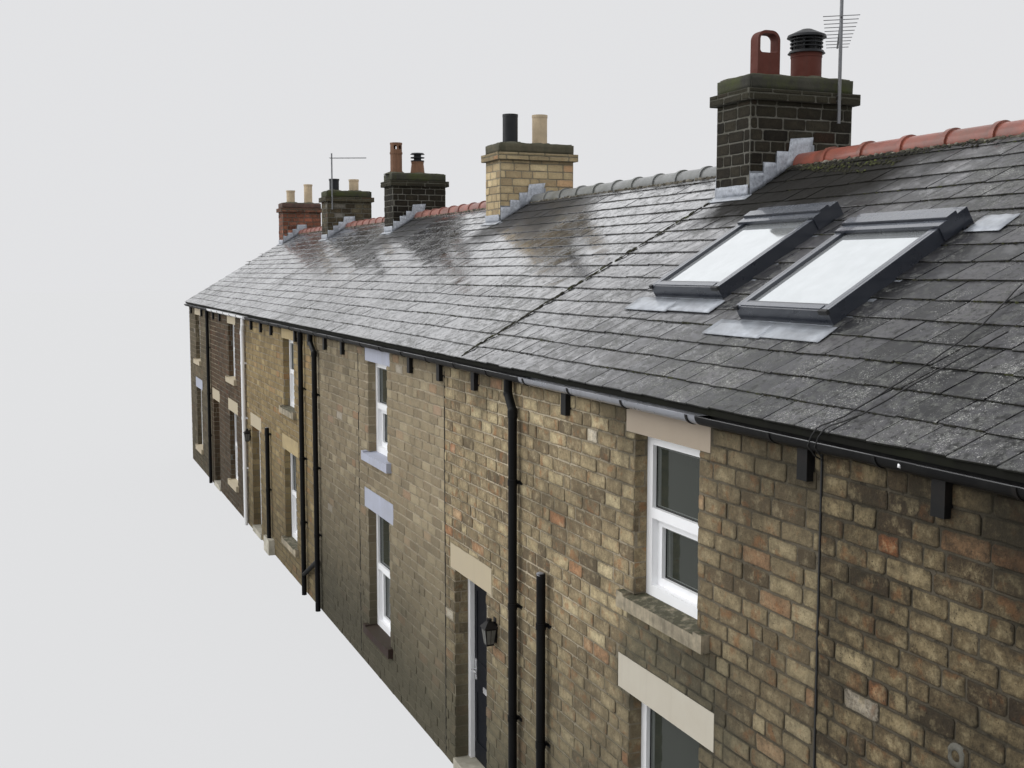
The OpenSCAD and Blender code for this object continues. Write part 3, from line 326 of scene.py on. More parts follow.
def slate(name):
    """Wet slate under a film of water, each slate with its own tone, lichen towards the near end."""
    s = Shader(name)
    tone = s.attribute("tone")
    own = s.own()
    x, z = s.axis("X"), s.axis("Z")
    colour = s.ramp(tone, [(0.0, (0.02, 0.02, 0.024)), (0.35, (0.034, 0.034, 0.039)),
                           (0.7, (0.05, 0.049, 0.054)), (0.95, (0.066, 0.064, 0.066)),
                           (1.0, grey(0.13))])
    cloud = s.noise(6, 6, 0.68, at=own)
    colour = s.over(colour, ((0.1, 0.099, 0.094), cloud, 0.48, 0.74, 0.5))
    field = s.noise(0.8, 5, 0.6, shift=(2, 5, 1))

    # Lichen, more of it near the eaves and the near end: a grey crust, and pale spots in clusters
    where = s.plus(s.span(x, 7.0, 11.0, 0.0, 0.06), s.span(z, 5.6, 4.5, 0.0, 0.025),
                   s.span(field, 0.35, 0.65, -0.05, 0.04))
    crust = s.span(s.plus(s.noise(14, 8, 0.82, shift=(5, 5, 5)), where), 0.53, 0.61, 0.0, 0.7)
    cluster = s.span(s.noise(3.5, 4, 0.6, shift=(9, 2, 6)), 0.4, 0.62, -0.05, 0.07)
    large = s.maths("SUBTRACT", s.noise(50, 3, 0.65), 0.035)
    flecks = s.maths("MAXIMUM", s.noise(115, 3, 0.6), large)
    spots = s.span(s.plus(flecks, where, cluster), 0.685, 0.725, 0.0, 0.85)

    # The near end is darker and its slates differ more
    colour = s.mix(s.span(x, 8.0, 10.5, 0.0, 0.35), colour, s.dim(colour, grey(0.35)))
    uneven = s.mix(s.span(x, 6.0, 9.0), grey(1.0), s.span(tone, 0.0, 0.93, 0.35, 1.6))
    colour = s.mix(crust, s.dim(colour, uneven), (0.125, 0.128, 0.118))
    colour = s.mix(spots, colour, (0.38, 0.38, 0.36))
    darkening = s.noise(22, 6, 0.75, shift=(1, 8, 3))
    soil = s.noise(70, 3, 0.6, shift=(3, 0, 3))
    # The rim layer darkens each slate's tail edge: painted shadow with moss
    colour = s.over(colour, (grey(0.012), darkening, 0.5, 0.4, s.span(x, 6.0, 10.0, 0.0, 0.85)),
                    ((0.01, 0.009, 0.008), soil, 0.67, 0.7, 0.9),
                    ((0.012, 0.012, 0.009), s.attribute("rim"), 0.5, 0.0, 1.0))

    # Dark, dull areas below the ridge
    wide = s.span(field, 0.3, 0.7, -0.4, 0.4)
    drift = s.plus(x, wide)
    high = s.plus(z, s.times(wide, 0.45))
    shady = s.times(s.band(drift, 5.2, 5.6, 7.5, 8.3), s.span(high, 5.62, 5.85))
    for a, b in ((-1.1, 1.6), (-6.8, -4.9)):
        across = s.band(drift, a - 0.2, a + 0.3, b - 0.3, b + 0.5)
        patch = s.times(across, s.span(high, 5.45, 5.75), 0.8)
        shady = s.maths("MAXIMUM", shady, patch)
    colour = s.mix(s.times(shady, 0.92), colour, (0.013, 0.012, 0.01))

    rough = s.plus(s.span(s.plus(cloud, s.times(tone, 0.2)), 0.4, 0.85, 0.1, 0.28),
                   s.times(s.plus(spots, crust), 0.4), s.span(drift, 4.5, 10.5, 0.0, 0.24),
                   s.times(shady, 0.45))
    normal = s.grain(110, 0.2, 0.001, s.bump(s.noise(15, 6, 0.7, at=own), 0.2, 0.004))
    dull = s.maths("SUBTRACT", 1.0, s.times(shady, 0.75))
    shine = s.times(s.span(drift, 4.0, 10.5, 0.5, 0.2), dull)
    wet = s.span(s.plus(cloud, crust, s.span(drift, 4.5, 10.0, 0.0, 0.32)), 0.78, 0.45)
    wet = s.times(wet, s.maths("SUBTRACT", 1.0, shady))
    s.bsdf.inputs["Coat Roughness"].default_value = 0.1
    s.bsdf.inputs["Coat IOR"].default_value = 1.45
    s.finish(colour, rough, normal, ior=1.55, coat=wet, shine=shine)


def plain(name, colour, rough, vary=0.18, scale=7.0, grain=90.0, depth=0.001, dirt=None, amount=0.3,
          streaks=0.0, metal=0.0, ior=1.5, coat=0.0, moss=0.0):
    """A general finish: cloudy colour, dirt in patches and streaks, moss on ledges, fine bump."""
    s = Shader(name)
    cloud = s.noise(scale, 5, 0.62)
    low = tuple(c * (1 - vary) for c in colour)
    high = tuple(min(1.0, c * (1 + vary)) for c in colour)
    layers = [(high, cloud, 0.3, 0.7, 1.0)]
    if dirt:
        patch = s.noise(scale * 0.45, 6, 0.68, shift=(5, 2, 8))
        layers.append((dirt, patch, 0.46, 0.68, amount))
    if streaks:
        layers.append((dirt, s.runs(), 0.5, 0.68, streaks))
    if moss:
        growth = s.plus(s.up(), s.span(s.noise(14, 5, 0.7), 0.3, 0.7, -0.45, 0.35))
        layers.append(((0.042, 0.042, 0.02), growth, 0.45, 1.0, moss))
    rough = s.span(cloud, 0.25, 0.75, max(0.02, rough - 0.08), min(1.0, rough + 0.08))
    s.finish(s.over(low, *layers), rough, s.grain(grain, 0.5, depth), metal, ior, coat)


def lintel_paint(name):
    """Cream masonry paint: pinkish under the eaves, greyer lower down, yellower at the far doors."""
    s = Shader(name)
    colour = s.over((0.5, 0.465, 0.385), ((0.33, 0.27, 0.205), s.axis("Z"), 2.9, 3.1, 1.0),
                    ((0.46, 0.39, 0.265), s.axis("X"), 6.5, 6.0, 1.0),
                    ((0.4, 0.34, 0.26), s.noise(3.0, 5, 0.62), 0.35, 0.7, 0.3),
                    ((0.28, 0.24, 0.18), s.runs(), 0.55, 0.72, 0.12))
    s.finish(colour, 0.65, s.grain(110, 0.5, 0.0015))


def pot_clay(name):
    """Red clay of the near pots, browner and sooty on the far stacks."""
    s = Shader(name)
    cloud = s.noise(9.0, 5, 0.62)
    clay = s.over((0.11, 0.03, 0.02), ((0.2, 0.105, 0.06), s.axis("X"), 3.0, 2.0, 1.0))
    colour = s.over(clay, (s.dim(clay, grey(0.6)), cloud, 0.35, 0.7, 0.4),
                    ((0.04, 0.028, 0.022), s.runs(), 0.5, 0.68, 0.3))
    s.finish(colour, s.span(cloud, 0.3, 0.7, 0.65, 0.85), s.grain(130, 0.5, 0.002), shine=0.3)


def toned(name, stops, rough, grain=60.0, depth=0.004):
    """A finish for small laid pieces: their tone picks the colour."""
    s = Shader(name)
    tone = s.plus(s.attribute("tone"), s.span(s.noise(18, 4, 0.7), 0.3, 0.7, -0.25, 0.25))
    fine = s.noise(grain, 4, 0.65)
    dark = tuple(c * 0.45 for c in stops[0][1])
    colour = s.over(s.ramp(tone, stops), (dark, fine, 0.45, 0.7, 0.5))
    s.finish(colour, rough, s.bump(fine, 0.8, depth))


def pane(name, tint, rough=0.03, metal=0.0):
    """Window glass: mirror-like with a thin film of dirt."""
    s = Shader(name)
    film = s.noise(7, 5, 0.6, stretch=(1, 1, 0.4))
    pale = tuple(min(1.0, c * 1.3) for c in tint)
    colour = s.over(tint, (pale, film, 0.4, 0.8, 0.4))
    wave = s.bump(s.noise(1.6, 2, 0.5), 0.03, 0.02)
    s.finish(colour, s.span(film, 0.3, 0.8, rough, rough + 0.05), wave, metal)


# Brick: tones, grime, rust, shades (x0, x1, g0, g1), darkening at the foot, painted shade under the
# eaves, smeared mortar, mottle. The stacks have no darkening at the foot and no painted eaves shade.
brick("brick_near", shade(1.08, (1.02, 1.0, 0.98), 1.1), 0.45, 0.5, (9.6, 12.2, 0.9, 0.52), 0.5, 0.6,
      (0.06, 0.051, 0.036), 0.7)
brick("brick_buff", shade(1.05, (1.01, 1.02, 1.06), 0.9), 0.3, 0.5, (7.2, 9.5, 1.6, 0.92), 0.9, 0.55,
      (0.1, 0.083, 0.055), 0.5)
brick("brick_pale", shade(1.08, (1.0, 1.05, 1.2), 0.42), 0.2, 0.14, (-2.0, 3.8, 1.05, 1.45), 0.9, 0.4,
      (0.24, 0.205, 0.15), 0.15)
brick("brick_yellow", shade(1.32, (1.04, 1.0, 0.88), 0.5), 0.15, 0.2, None, 0.5, 0.5,
      (0.24, 0.19, 0.12), 0.2)
brick("brick_brown", shade(0.42, (1.08, 0.88, 0.9), 0.7), 0.2, 0.3)
brick("brick_cream", shade(0.6, (1.0, 1.04, 1.15), 0.6), 0.2, 0.2, mottle=0.2)
for name, stops, grime, rust, smear, mottle in (
        ("brick_dark", shade(0.12, (1.0, 1.06, 1.25)), 0.2, 0.15, (0.04, 0.04, 0.034), 0.4),
        ("brick_tan", shade(2.3, (1.0, 1.0, 1.04), 0.6), 0.0, 0.15, (0.3, 0.26, 0.18), 0.2),
        ("brick_sooty", shade(0.42, (1.0, 1.05, 1.15)), 0.1, 0.2, (0.07, 0.065, 0.05), 0.4),
        ("brick_red", shade(0.8, (1.35, 0.72, 0.8)), 0.1, 0.3, (0.12, 0.09, 0.075), 0.4)):
    brick(name, stops, grime, rust, None, 0.0, 0.0, smear, mottle)

CEMENT = (0.28, 0.24, 0.175), (0.14, 0.12, 0.085)
mortar("mortar_near", *CEMENT, (9.6, 12.2, 0.42, 0.34), 0.5)
mortar("mortar_buff", *CEMENT, (6.4, 9.0, 2.1, 0.5), 0.3, 0.9)
mortar("mortar", *CEMENT, (-2.0, 3.8, 1.35, 1.8), 0.2, 0.85)
mortar("mortar_tan", (0.3, 0.265, 0.19), (0.2, 0.17, 0.12), None, 0.0, 0.0, 0.0)
mortar("mortar_stack", (0.17, 0.165, 0.145), (0.085, 0.082, 0.062), None, 0.2, 0.0, 0.0)

slate("slate")
pot_clay("clay_red")
lintel_paint("paint_cream")
# Near-black window glass: painted shade of the unlit rooms behind it
pane("glass", (0.03, 0.035, 0.028))
pane("roof_glass", (0.64, 0.67, 0.68), 0.03, 0.72)
toned("moss", [(0.0, (0.012, 0.011, 0.008)), (0.45, (0.026, 0.025, 0.012)),
               (0.75, (0.055, 0.062, 0.013)), (1.0, (0.1, 0.12, 0.022))], 0.95)
toned("bedding", [(0.0, (0.045, 0.04, 0.028)), (0.5, (0.13, 0.115, 0.085)),
                  (1.0, (0.27, 0.25, 0.21))], 0.95)
toned("lead_sheet", [(0.0, (0.18, 0.195, 0.22)), (0.5, (0.36, 0.385, 0.43)),
                     (1.0, (0.56, 0.59, 0.64))], 0.42, 40.0, 0.002)

# Other finishes: colour, roughness, variation, cloud scale, grain, depth, dirt, amount, streaks
plain("concrete", (0.36, 0.35, 0.33), 0.9, depth=0.003, dirt=(0.14, 0.13, 0.11))
plain("slate_bed", (0.012, 0.012, 0.01), 0.9, dirt=(0.02, 0.023, 0.01), ior=1.2)
plain("flaunching", (0.1, 0.095, 0.07), 0.95, 0.4, 9.0, 60, 0.006, (0.045, 0.052, 0.018), 0.85,
      moss=0.8)
for name, colour, dirt, amount, streaks, moss in (
        ("crown_mossy", (0.036, 0.035, 0.026), (0.05, 0.06, 0.012), 0.9, 0.3, 0.6),
        ("crown_tan", (0.085, 0.075, 0.048), (0.05, 0.052, 0.03), 0.8, 0.4, 0.5),
        ("crown_red", (0.1, 0.058, 0.045), (0.05, 0.045, 0.035), 0.8, 0.3, 0.5)):
    plain(name, colour, 0.95, 0.4, 6.0, 50, 0.008, dirt, amount, streaks, moss=moss)
for name, colour, rough, scale, dirt, amount, streaks, coat in (
        ("tile_orange", (0.23, 0.06, 0.036), 0.5, 6.0, (0.1, 0.06, 0.04), 0.5, 0.2, 0.25),
        ("tile_grey", (0.16, 0.165, 0.16), 0.5, 5.0, (0.06, 0.065, 0.04), 0.6, 0.0, 0.3),
        ("tile_red", (0.26, 0.1, 0.075), 0.6, 5.0, (0.1, 0.075, 0.06), 0.5, 0.0, 0.2)):
    plain(name, colour, rough, 0.3, scale, 120, 0.003, dirt, amount, streaks, coat=coat)
plain("lead", (0.26, 0.28, 0.31), 0.45, 0.3, 8.0, 60, 0.002, (0.09, 0.095, 0.105), 0.55, 0.3, 0.2)
plain("lead_pale", (0.36, 0.385, 0.42), 0.38, 0.3, 7.0, 50, 0.003, (0.17, 0.18, 0.195), 0.55, 0.35,
      0.15, coat=0.3)
plain("clay_pale", (0.52, 0.41, 0.27), 0.75, 0.15, 8.0, 130, 0.002, (0.3, 0.25, 0.17), 0.4, 0.3)
plain("clay_black", (0.01, 0.011, 0.013), 0.5, 0.3, 9.0, 110, 0.001, (0.035, 0.035, 0.034), 0.3,
      ior=1.35)
plain("metal_grey", (0.18, 0.185, 0.195), 0.5, 0.15, 20, 90, 0.0006, (0.15, 0.14, 0.12), 0.4,
      metal=0.7)
plain("paint_blue", (0.38, 0.4, 0.48), 0.6, 0.07, 4.0, 110, 0.0015, (0.28, 0.27, 0.27), 0.3, 0.15)
plain("stone_ochre", (0.4, 0.31, 0.16), 0.85, 0.15, 8.0, 100, 0.003, (0.22, 0.18, 0.11), 0.35, 0.2)
plain("stone_sill", (0.33, 0.283, 0.2), 0.85, 0.35, 9.0, 100, 0.005, (0.09, 0.08, 0.055), 0.65, 0.6,
      moss=0.92)
plain("paint_red", (0.035, 0.02, 0.016), 0.7, 0.25, 7.0, 100, 0.002, (0.05, 0.045, 0.035), 0.4, 0.35,
      moss=0.3, ior=1.3)
plain("plastic_white", (0.9, 0.905, 0.915), 0.4, 0.015, 4.0, 60, 0.0001, (0.7, 0.7, 0.69), 0.08, 0.05)
plain("step_stone", (0.48, 0.45, 0.37), 0.85, 0.2, 7.0, 90, 0.004, (0.16, 0.15, 0.11), 0.5, moss=0.3)
plain("door_dark", (0.007, 0.008, 0.011), 0.5, 0.2, 6.0, 60, 0.0005, (0.02, 0.02, 0.022), 0.2,
      ior=1.2)
plain("door_brown", (0.06, 0.028, 0.02), 0.45, 0.25, 6.0, 60, 0.0008, (0.05, 0.035, 0.03))
plain("chrome_trim", (0.75, 0.75, 0.77), 0.25, 0.05, 20, 60, 0.0001, grey(0.5), 0.2, metal=0.6)
plain("plastic_black", (0.004, 0.004, 0.0045), 0.5, 0.3, 5.0, 60, 0.0004, (0.014, 0.014, 0.013), 0.35,
      0.3, ior=1.25)
plain("lip_black", (0.05, 0.05, 0.052), 0.16, 0.2, 5.0, 60, 0.0002, coat=0.8)
plain("plastic_grey", (0.24, 0.25, 0.28), 0.3, 0.1, 5.0, 60, 0.0004, (0.13, 0.128, 0.125), 0.35, 0.3,
      coat=0.4)
plain("iron_black", grey(0.006), 0.55, 0.3, 12.0, 80, 0.001, (0.03, 0.02, 0.015), 0.25, ior=1.3)
plain("frame_anthracite", (0.026, 0.03, 0.04), 0.3, 0.12, 6.0, 60, 0.0003, (0.05, 0.053, 0.058), 0.25,
      coat=0.35)
plain("cover_grey", (0.08, 0.089, 0.108), 0.25, 0.1, 6.0, 60, 0.0002, (0.12, 0.125, 0.135), 0.25,
      coat=0.5)
plain("cable_black", grey(0.015), 0.6, 0.2)
plain("lamp_glass", (0.11, 0.11, 0.1), 0.15, 0.2, 12.0, 60, 0.0002)
plain("bar_grey", (0.13, 0.14, 0.13), 0.4, 0.1, 5.0, 60, 0.0002)
plain("joint_dark", (0.035, 0.032, 0.025), 0.95, 0.3, 9.0, 120, 0.003)

# CAD materials to finishes here. Brick is drawn on the walls, so a wall itself is its mortar.
FOR_CAD = {"brick_near": "mortar_near", "slate": "slate_bed",
           **dict.fromkeys(("brick_dark", "brick_red", "brick_brown"), "mortar_stack"),
           **dict.fromkeys(("brick_buff", "brick_pale", "brick_yellow", "brick_cream"), "mortar")}
FOR_NODE = {"chimney_brown": "mortar_stack", "chimney_tan": "mortar_tan", "front_wall_2": "mortar_buff",
            "door_piers": "mortar", "walls_over_doors": "mortar", "roof_window_glass": "roof_glass"}

for name, obj in NODES.items():
    for slot in obj.material_slots:
        key = slot.material.name.split(".")[0] if slot.material else "concrete"
        key = FOR_NODE.get(name, FOR_CAD.get(key, key))
        slot.material = MATERIALS.get(key, MATERIALS["concrete"])

# ---------------------------------------------------------------- meshes

rng = random.Random(SEED)
uniform = rng.uniform


def sway(much):
    """A draw from -much to much."""
    return uniform(-much, much)


def girdle(start, n):
    """Quads between a ring of n points and the next ring."""
    return [[start + i, start + (i + 1) % n, start + n + (i + 1) % n, start + n + i]
            for i in range(n)]


class Mesh:
    """Collects solids, each with a tone and a tint, and rim weights on its points."""

    def __init__(self):
        self.points, self.faces, self.tones, self.tints, self.rims = [], [], [], [], []

    def solid(self, points, faces, tone=0.5, rims=None):
        start = len(self.points)
        tint = rng.random()
        self.points.extend(points)
        self.rims.extend(rims or [1.0] * len(points))
        self.faces.extend([[start + i for i in f] for f in faces])
        self.tones.extend([tone] * len(faces))
        self.tints.extend([tint] * len(faces))

    def box(self, lo, hi):
        """A block from corner to corner."""
        pts = [(x, y, z) for z in (lo[2], hi[2]) for y in (lo[1], hi[1]) for x in (lo[0], hi[0])]
        self.solid(pts, [[0, 2, 3, 1], [4, 5, 7, 6], [0, 1, 5, 4], [1, 3, 7, 5], [3, 2, 6, 7],
                         [2, 0, 4, 6]])

    def clump(self, at, u, v, d, ru, rv, height, tone, sides=6):
        """A low rounded lump on a surface."""
        turn = uniform(0, 6.28)
        ring, upper = [], []
        for i in range(sides):
            a = turn + TURN * i / sides
            grow = uniform(0.75, 1.2)
            cu, cv = cos(a) * ru * grow, sin(a) * rv * grow
            ring.append(at(u + cu, v + cv, d - 0.002))
            upper.append(at(u + cu * 0.7, v + cv * 0.7, d + height * uniform(0.5, 0.8)))
        faces = girdle(0, sides)
        faces += [[sides + i, sides + (i + 1) % sides, 2 * sides] for i in range(sides)]
        self.solid(ring + upper + [at(u, v, d + height)], faces, tone)

    def sheet(self, at, u0, u1, v0, v1, d, thick, nu, nv, wave, tone=0.5):
        """A draped sheet with its edges turned down."""
        def spot(i, j, out, du=0, dv=0):
            return at(u0 + (u1 - u0) * i / nu + du, v0 + (v1 - v0) * j / nv + dv, out)

        pts = []
        for j in range(nv + 1):
            for i in range(nu + 1):
                edge = i in (0, nu) or j in (0, nv)
                moves = [sway(wave) for _ in range(3 if edge else 1)]
                pts.append(spot(i, j, d + moves[0], *moves[1:]))
        n = nu + 1
        faces = [[j * n + i, j * n + i + 1, (j + 1) * n + i + 1, (j + 1) * n + i]
                 for j in range(nv) for i in range(nu)]
        base = len(pts)
        loop = ([(i, 0) for i in range(nu)] + [(nu, j) for j in range(nv)]
                + [(i, nv) for i in range(nu, 0, -1)] + [(0, j) for j in range(nv, 0, -1)])
        pts += [spot(i, j, d - thick) for i, j in loop]
        for k, (i, j) in enumerate(loop):
            after = (k + 1) % len(loop)
            i2, j2 = loop[after]
            faces.append([j * n + i, base + k, base + after, j2 * n + i2])
        self.solid(pts, faces, tone)

    def tube(self, path, radius, sides=6):
        """A round bar along a path of points."""
        pts, faces = [], []
        last = len(path) - 1
        for k, p in enumerate(path):
            way = (Vector(path[min(k + 1, last)]) - Vector(path[max(k - 1, 0)])).normalized()
            side = way.cross(Vector((0.31, 0.53, 0.79))).normalized()
            over = way.cross(side)
            for i in range(sides):
                t = TURN * i / sides
                pts.append(tuple(Vector(p) + (side * cos(t) + over * sin(t)) * radius))
        for k in range(last):
            faces += girdle(k * sides, sides)
        faces += [list(range(sides))[::-1], [last * sides + i for i in range(sides)]]
        self.solid(pts, faces)

    def make(self, name, material, slot, smooth=False):
        data = bpy.data.meshes.new(name)
        data.from_pydata([tuple(p) for p in self.points], [], self.faces)
        for key, values, domain in (("tone", self.tones, "FACE"), ("tint", self.tints, "FACE"),
                                    ("rim", self.rims, "POINT")):
            data.attributes.new(key, "FLOAT", domain).data.foreach_set("value", values)
        data.polygons.foreach_set("use_smooth", [smooth] * len(self.faces))
        data.materials.append(MATERIALS[material])
        obj = add_object(name, data)
        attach(obj, BODY)


def islands(node):
    """(lowest, highest) corner of each separate solid of a CAD node."""
    data = NODES[node].data
    place = NODES[node].matrix_world
    parent = list(range(len(data.vertices)))

    def root(i):
        while parent[i] != i:
            parent[i] = parent[parent[i]]
            i = parent[i]
        return i

    keys = {}
    joined = [(v.index, keys.setdefault(tuple(round(c, 5) for c in v.co), v.index))
              for v in data.vertices]
    for i, j in joined + [tuple(edge.vertices) for edge in data.edges]:
        parent[root(i)] = root(j)
    boxes = {}
    for v in data.vertices:
        p = place @ v.co
        lo, hi = boxes.setdefault(root(v.index), (p.copy(), p.copy()))
        for a in range(3):
            lo[a] = min(lo[a], p[a])
            hi[a] = max(hi[a], p[a])
    return list(boxes.values())


def centre(lo, hi):
    return (lo.x + hi.x) / 2, (lo.y + hi.y) / 2


def cut_out(rect, holes, least=0.03):
    """The parts of a rectangle (u0, u1, v0, v1) that lie outside the holes."""
    parts = [rect]
    for a0, a1, b0, b1 in holes:
        left = []
        for u0, u1, v0, v1 in parts:
            if u1 <= a0 or u0 >= a1 or v1 <= b0 or v0 >= b1:
                left.append((u0, u1, v0, v1))
                continue
            mid0, mid1 = max(u0, a0), min(u1, a1)
            rests = (u0, a0, v0, v1), (a1, u1, v0, v1), (mid0, mid1, v0, b0), (mid0, mid1, b1, v1)
            left += [r for r in rests if r[0] < r[1] and r[2] < r[3]]
        parts = left
    return [p for p in parts if p[1] - p[0] > least and p[3] - p[2] > least * 0.7]


# ---------------------------------------------------------------- brickwork


def brick_tone():
    """Mostly middling tones, with some dark, some yellow and few red or limed bricks."""
    pick = rng.random()
    if pick < 0.12:
        return uniform(0.08, 0.26)
    if pick > 0.995:
        return 1.0
    if pick > 0.96:
        return uniform(0.93, 0.97)
    if pick > 0.88:
        return uniform(0.68, 0.84)
    return min(0.8, max(0.1, rng.gauss(0.48, 0.11)))


def lay_brick(mesh, at, rect, proud, fine, top=None):
    """One brick face. at(u, v, d) gives the point d out from the wall; top limits v by u."""
    u0, u1, v0, v1 = rect
    w, h = u1 - u0, v1 - v0
    jit = 0.003 if fine else 0.0015
    if fine and not top:
        cut = [min(uniform(0.004, 0.017), 0.3 * w, 0.25 * h) for _ in range(4)]
        low_u, top_u = (u0 + w * uniform(0.35, 0.65) for _ in range(2))
        ring = [(u0 + cut[0], v0), (low_u, v0), (u1 - cut[1], v0), (u1, v0 + cut[1]),
                (u1, v1 - cut[2]), (u1 - cut[2], v1), (top_u, v1), (u0 + cut[3], v1),
                (u0, v1 - cut[3]), (u0, v0 + cut[0])]
    else:
        ring = [(u0, v0), (u1, v0), (u1, v1), (u0, v1)]
    if top:
        ring = [(u, max(v0, min(v, top(u)))) for u, v in ring]
        if ring[2][1] - v0 < 0.02 and ring[3][1] - v0 < 0.02:
            return
    ring = [(u + sway(jit), v + sway(jit)) for u, v in ring]
    n = len(ring)
    tone = brick_tone()
    back = [at(u, v, -EMBED) for u, v in ring]
    if not fine:
        front = [at(u, v, proud) for u, v in ring]
        mesh.solid(back + front, [[n + i for i in range(n)]] + girdle(0, n), tone,
                   [0.3] * n + [0.75] * n)
        return
    out = max(0.0035, min(0.0115, rng.gauss(proud, 0.0022)))
    tilt_u, tilt_v = sway(0.0016), sway(0.0016)
    mid_u, mid_v = (u0 + u1) / 2, (v0 + v1) / 2
    inset = uniform(0.005, 0.009)
    side, front = [], []
    for u, v in ring:
        d = out + tilt_u * (u - mid_u) / w * 2 + tilt_v * (v - mid_v) / h * 2
        iu = u + copysign(min(inset, abs(mid_u - u) * 0.6), mid_u - u)
        iv = v + copysign(min(inset, abs(mid_v - v) * 0.6), mid_v - v)
        side.append(at(u, v, max(0.001, d - 0.0045)))
        front.append(at(iu, iv, d))
    faces = []
    for i in range(n):
        j = (i + 1) % n
        faces += [[i, j, n + j, n + i], [n + i, n + j, 2 * n + j, 2 * n + i],
                  [2 * n + i, 2 * n + j, 3 * n]]
    # Rim weights rise from the back (0) to the core point (1); the brick finish paints shade by them
    core = at(mid_u + w * sway(0.15), mid_v, out + uniform(-0.001, 0.002))
    mesh.solid(back + side + front + [core], faces, tone, [0.0] * n + [0.1] * n + [0.5] * n + [1.0])


def lay_wall(mesh, at, u_from, u_to, v_from, v_to, holes=(), fine=True, proud=0.0075, top=None,
             headers=0.18, long=(0.25, 0.335)):
    """Brick courses over a rectangle of wall, with holes left out."""
    row = int(v_from / COURSE)
    while row * COURSE < v_to - 0.02:
        v0 = max(v_from, row * COURSE + JOINT / 2)
        v1 = min(v_to, (row + 1) * COURSE - JOINT / 2)
        near_holes = [h for h in holes if h[2] < v1 and h[3] > v0]
        u = u_from - uniform(0, 0.2)
        while u < u_to:
            length = uniform(0.14, 0.19) if rng.random() < headers else uniform(*long)
            a, b = max(u, u_from) + JOINT / 2, min(u + length, u_to) - JOINT / 2
            u += length
            if b - a < 0.03 or v1 - v0 < 0.02:
                continue
            for part in cut_out((a, b, v0, v1), near_holes):
                lay_brick(mesh, at, part, proud, fine, top)
        row += 1


def openings(s):
    """Window and door openings of the front (s = -1) or the rear wall (s = 1), with their depth."""
    out = []
    for lo, hi in islands("window_frames" if s < 0 else "rear_window_frames"):
        out.append((lo.x, hi.x, lo.z, hi.z, HALF_D - max(abs(lo.y), abs(hi.y))))
    for lo, hi in islands("thresholds"):
        if (lo.y + hi.y) * s > 0:
            out.append((lo.x, hi.x, 0.0, DOOR_HEAD, DOOR_DEPTH))
    return out


def wall_holes(s):
    """Openings, lintels and sills of the front (s = -1) or the rear wall (s = 1)."""
    out = [o[:4] for o in openings(s)]
    for node in ("lintels_cream", "lintels_blue", "lintels_stone", "sills_stone", "sill_blue",
                 "sill_red", "sills_cream"):
        for lo, hi in islands(node):
            if (lo.y + hi.y) * s > 0:
                out.append((lo.x - 0.005, hi.x + 0.005, lo.z - 0.005, hi.z + 0.005))
    return out


def front_at(u, v, d):
    return (u, -HALF_D - d, v)


def rear_at(u, v, d):
    return (-u, HALF_D + d, v)


front_holes = wall_holes(-1) + [JOINT_SLOT]
rear_holes = [(-a1, -a0, b0, b1) for a0, a1, b0, b1 in wall_holes(1)]
for x_hi, x_lo, finish in FRONTS:
    part = finish.split("_")[1]
    m = Mesh()
    lay_wall(m, front_at, x_lo + 0.004, x_hi - 0.004, 0.0, BRICKS_TOP, front_holes,
             x_hi > FINE_BRICKS_X)
    for s in (-1, 1):
        for x0, x1, z0, z1, deep in openings(s):
            if not x_lo < (x0 + x1) / 2 < x_hi or (s > 0 and part != "near"):
                continue
            for at in ((lambda u, v, d: (x0 + d, s * (HALF_D - u), v)),
                       (lambda u, v, d: (x1 - d, s * (HALF_D - u), v))):
                lay_wall(m, at, -EMBED, deep, z0, z1, (), False, 0.003, None, 0.5)
    m.make("bricks_front_" + part, finish, finish)
    m = Mesh()
    lay_wall(m, rear_at, -x_hi + 0.004, -x_lo - 0.004, 0.0, BRICKS_TOP, rear_holes, False, 0.006)
    m.make("bricks_rear_" + part, finish, finish)

# Gable ends
for end, finish in ((1, "brick_near"), (-1, "brick_cream")):
    m = Mesh()
    lay_wall(m, lambda u, v, d: (end * (WALL_END + d), u * end, v), -HALF_D, HALF_D,
             0.0, 6.2, (), False, 0.006, lambda u: roof_z(u) - 0.06)
    m.make("bricks_gable_" + finish.split("_")[1], finish, finish)

# Chimney stacks: a brick shaft, an oversailing course of long slabs and a rendered crown.
# The far stack's outer face stands at the end of the row, so its slabs lie almost flush.
stacks = []
for node, finish, slot, render in (
        ("chimneys_dark", "brick_dark", "brick_dark", "crown_mossy"),
        ("chimney_tan", "brick_tan", "brick_near", "crown_tan"),
        ("chimney_brown", "brick_sooty", "brick_brown", "crown_mossy"),
        ("chimney_red", "brick_red", "brick_red", "crown_red")):
    m, crown = Mesh(), Mesh()
    for lo, hi in islands(node):
        cx, cy = centre(lo, hi)
        d = (hi.y - lo.y) / 2 - CORBEL_OUT
        stacks.append((cx, d))
        for z0, z1, grow, long in ((5.35, CORBEL_Z[0], 0.0, (0.21, 0.29)),
                                   (*CORBEL_Z, CORBEL_OUT, (0.3, 0.42)),
                                   (CORBEL_Z[1], STACK_TOP, 0.0, None)):
            a, b = STACK_HALF + grow, d + grow
            relief = 0.05 if cx < -END_STACK_X and grow else 1.0
            for at, half in ((lambda u, v, e: (cx + u, cy - b - e, v), a),
                             (lambda u, v, e: (cx - u, cy + b + e, v), a),
                             (lambda u, v, e: (cx + a + e, cy + u, v), b),
                             (lambda u, v, e: (cx - a - e * relief, cy - u, v), b)):
                if long:
                    lay_wall(m, at, -half, half, z0, z1, (), True, 0.005, None, 0.25, long)
                else:
                    crown.sheet(at, -half + 0.003, half - 0.003, z0 + 0.004, z1 - 0.002, 0.007,
                                0.004, 9, 3, 0.002)
    m.make("bricks_" + node, finish, slot)
    crown.make("crown_" + node, render, "concrete", True)
stacks.sort(key=lambda item: -item[0])

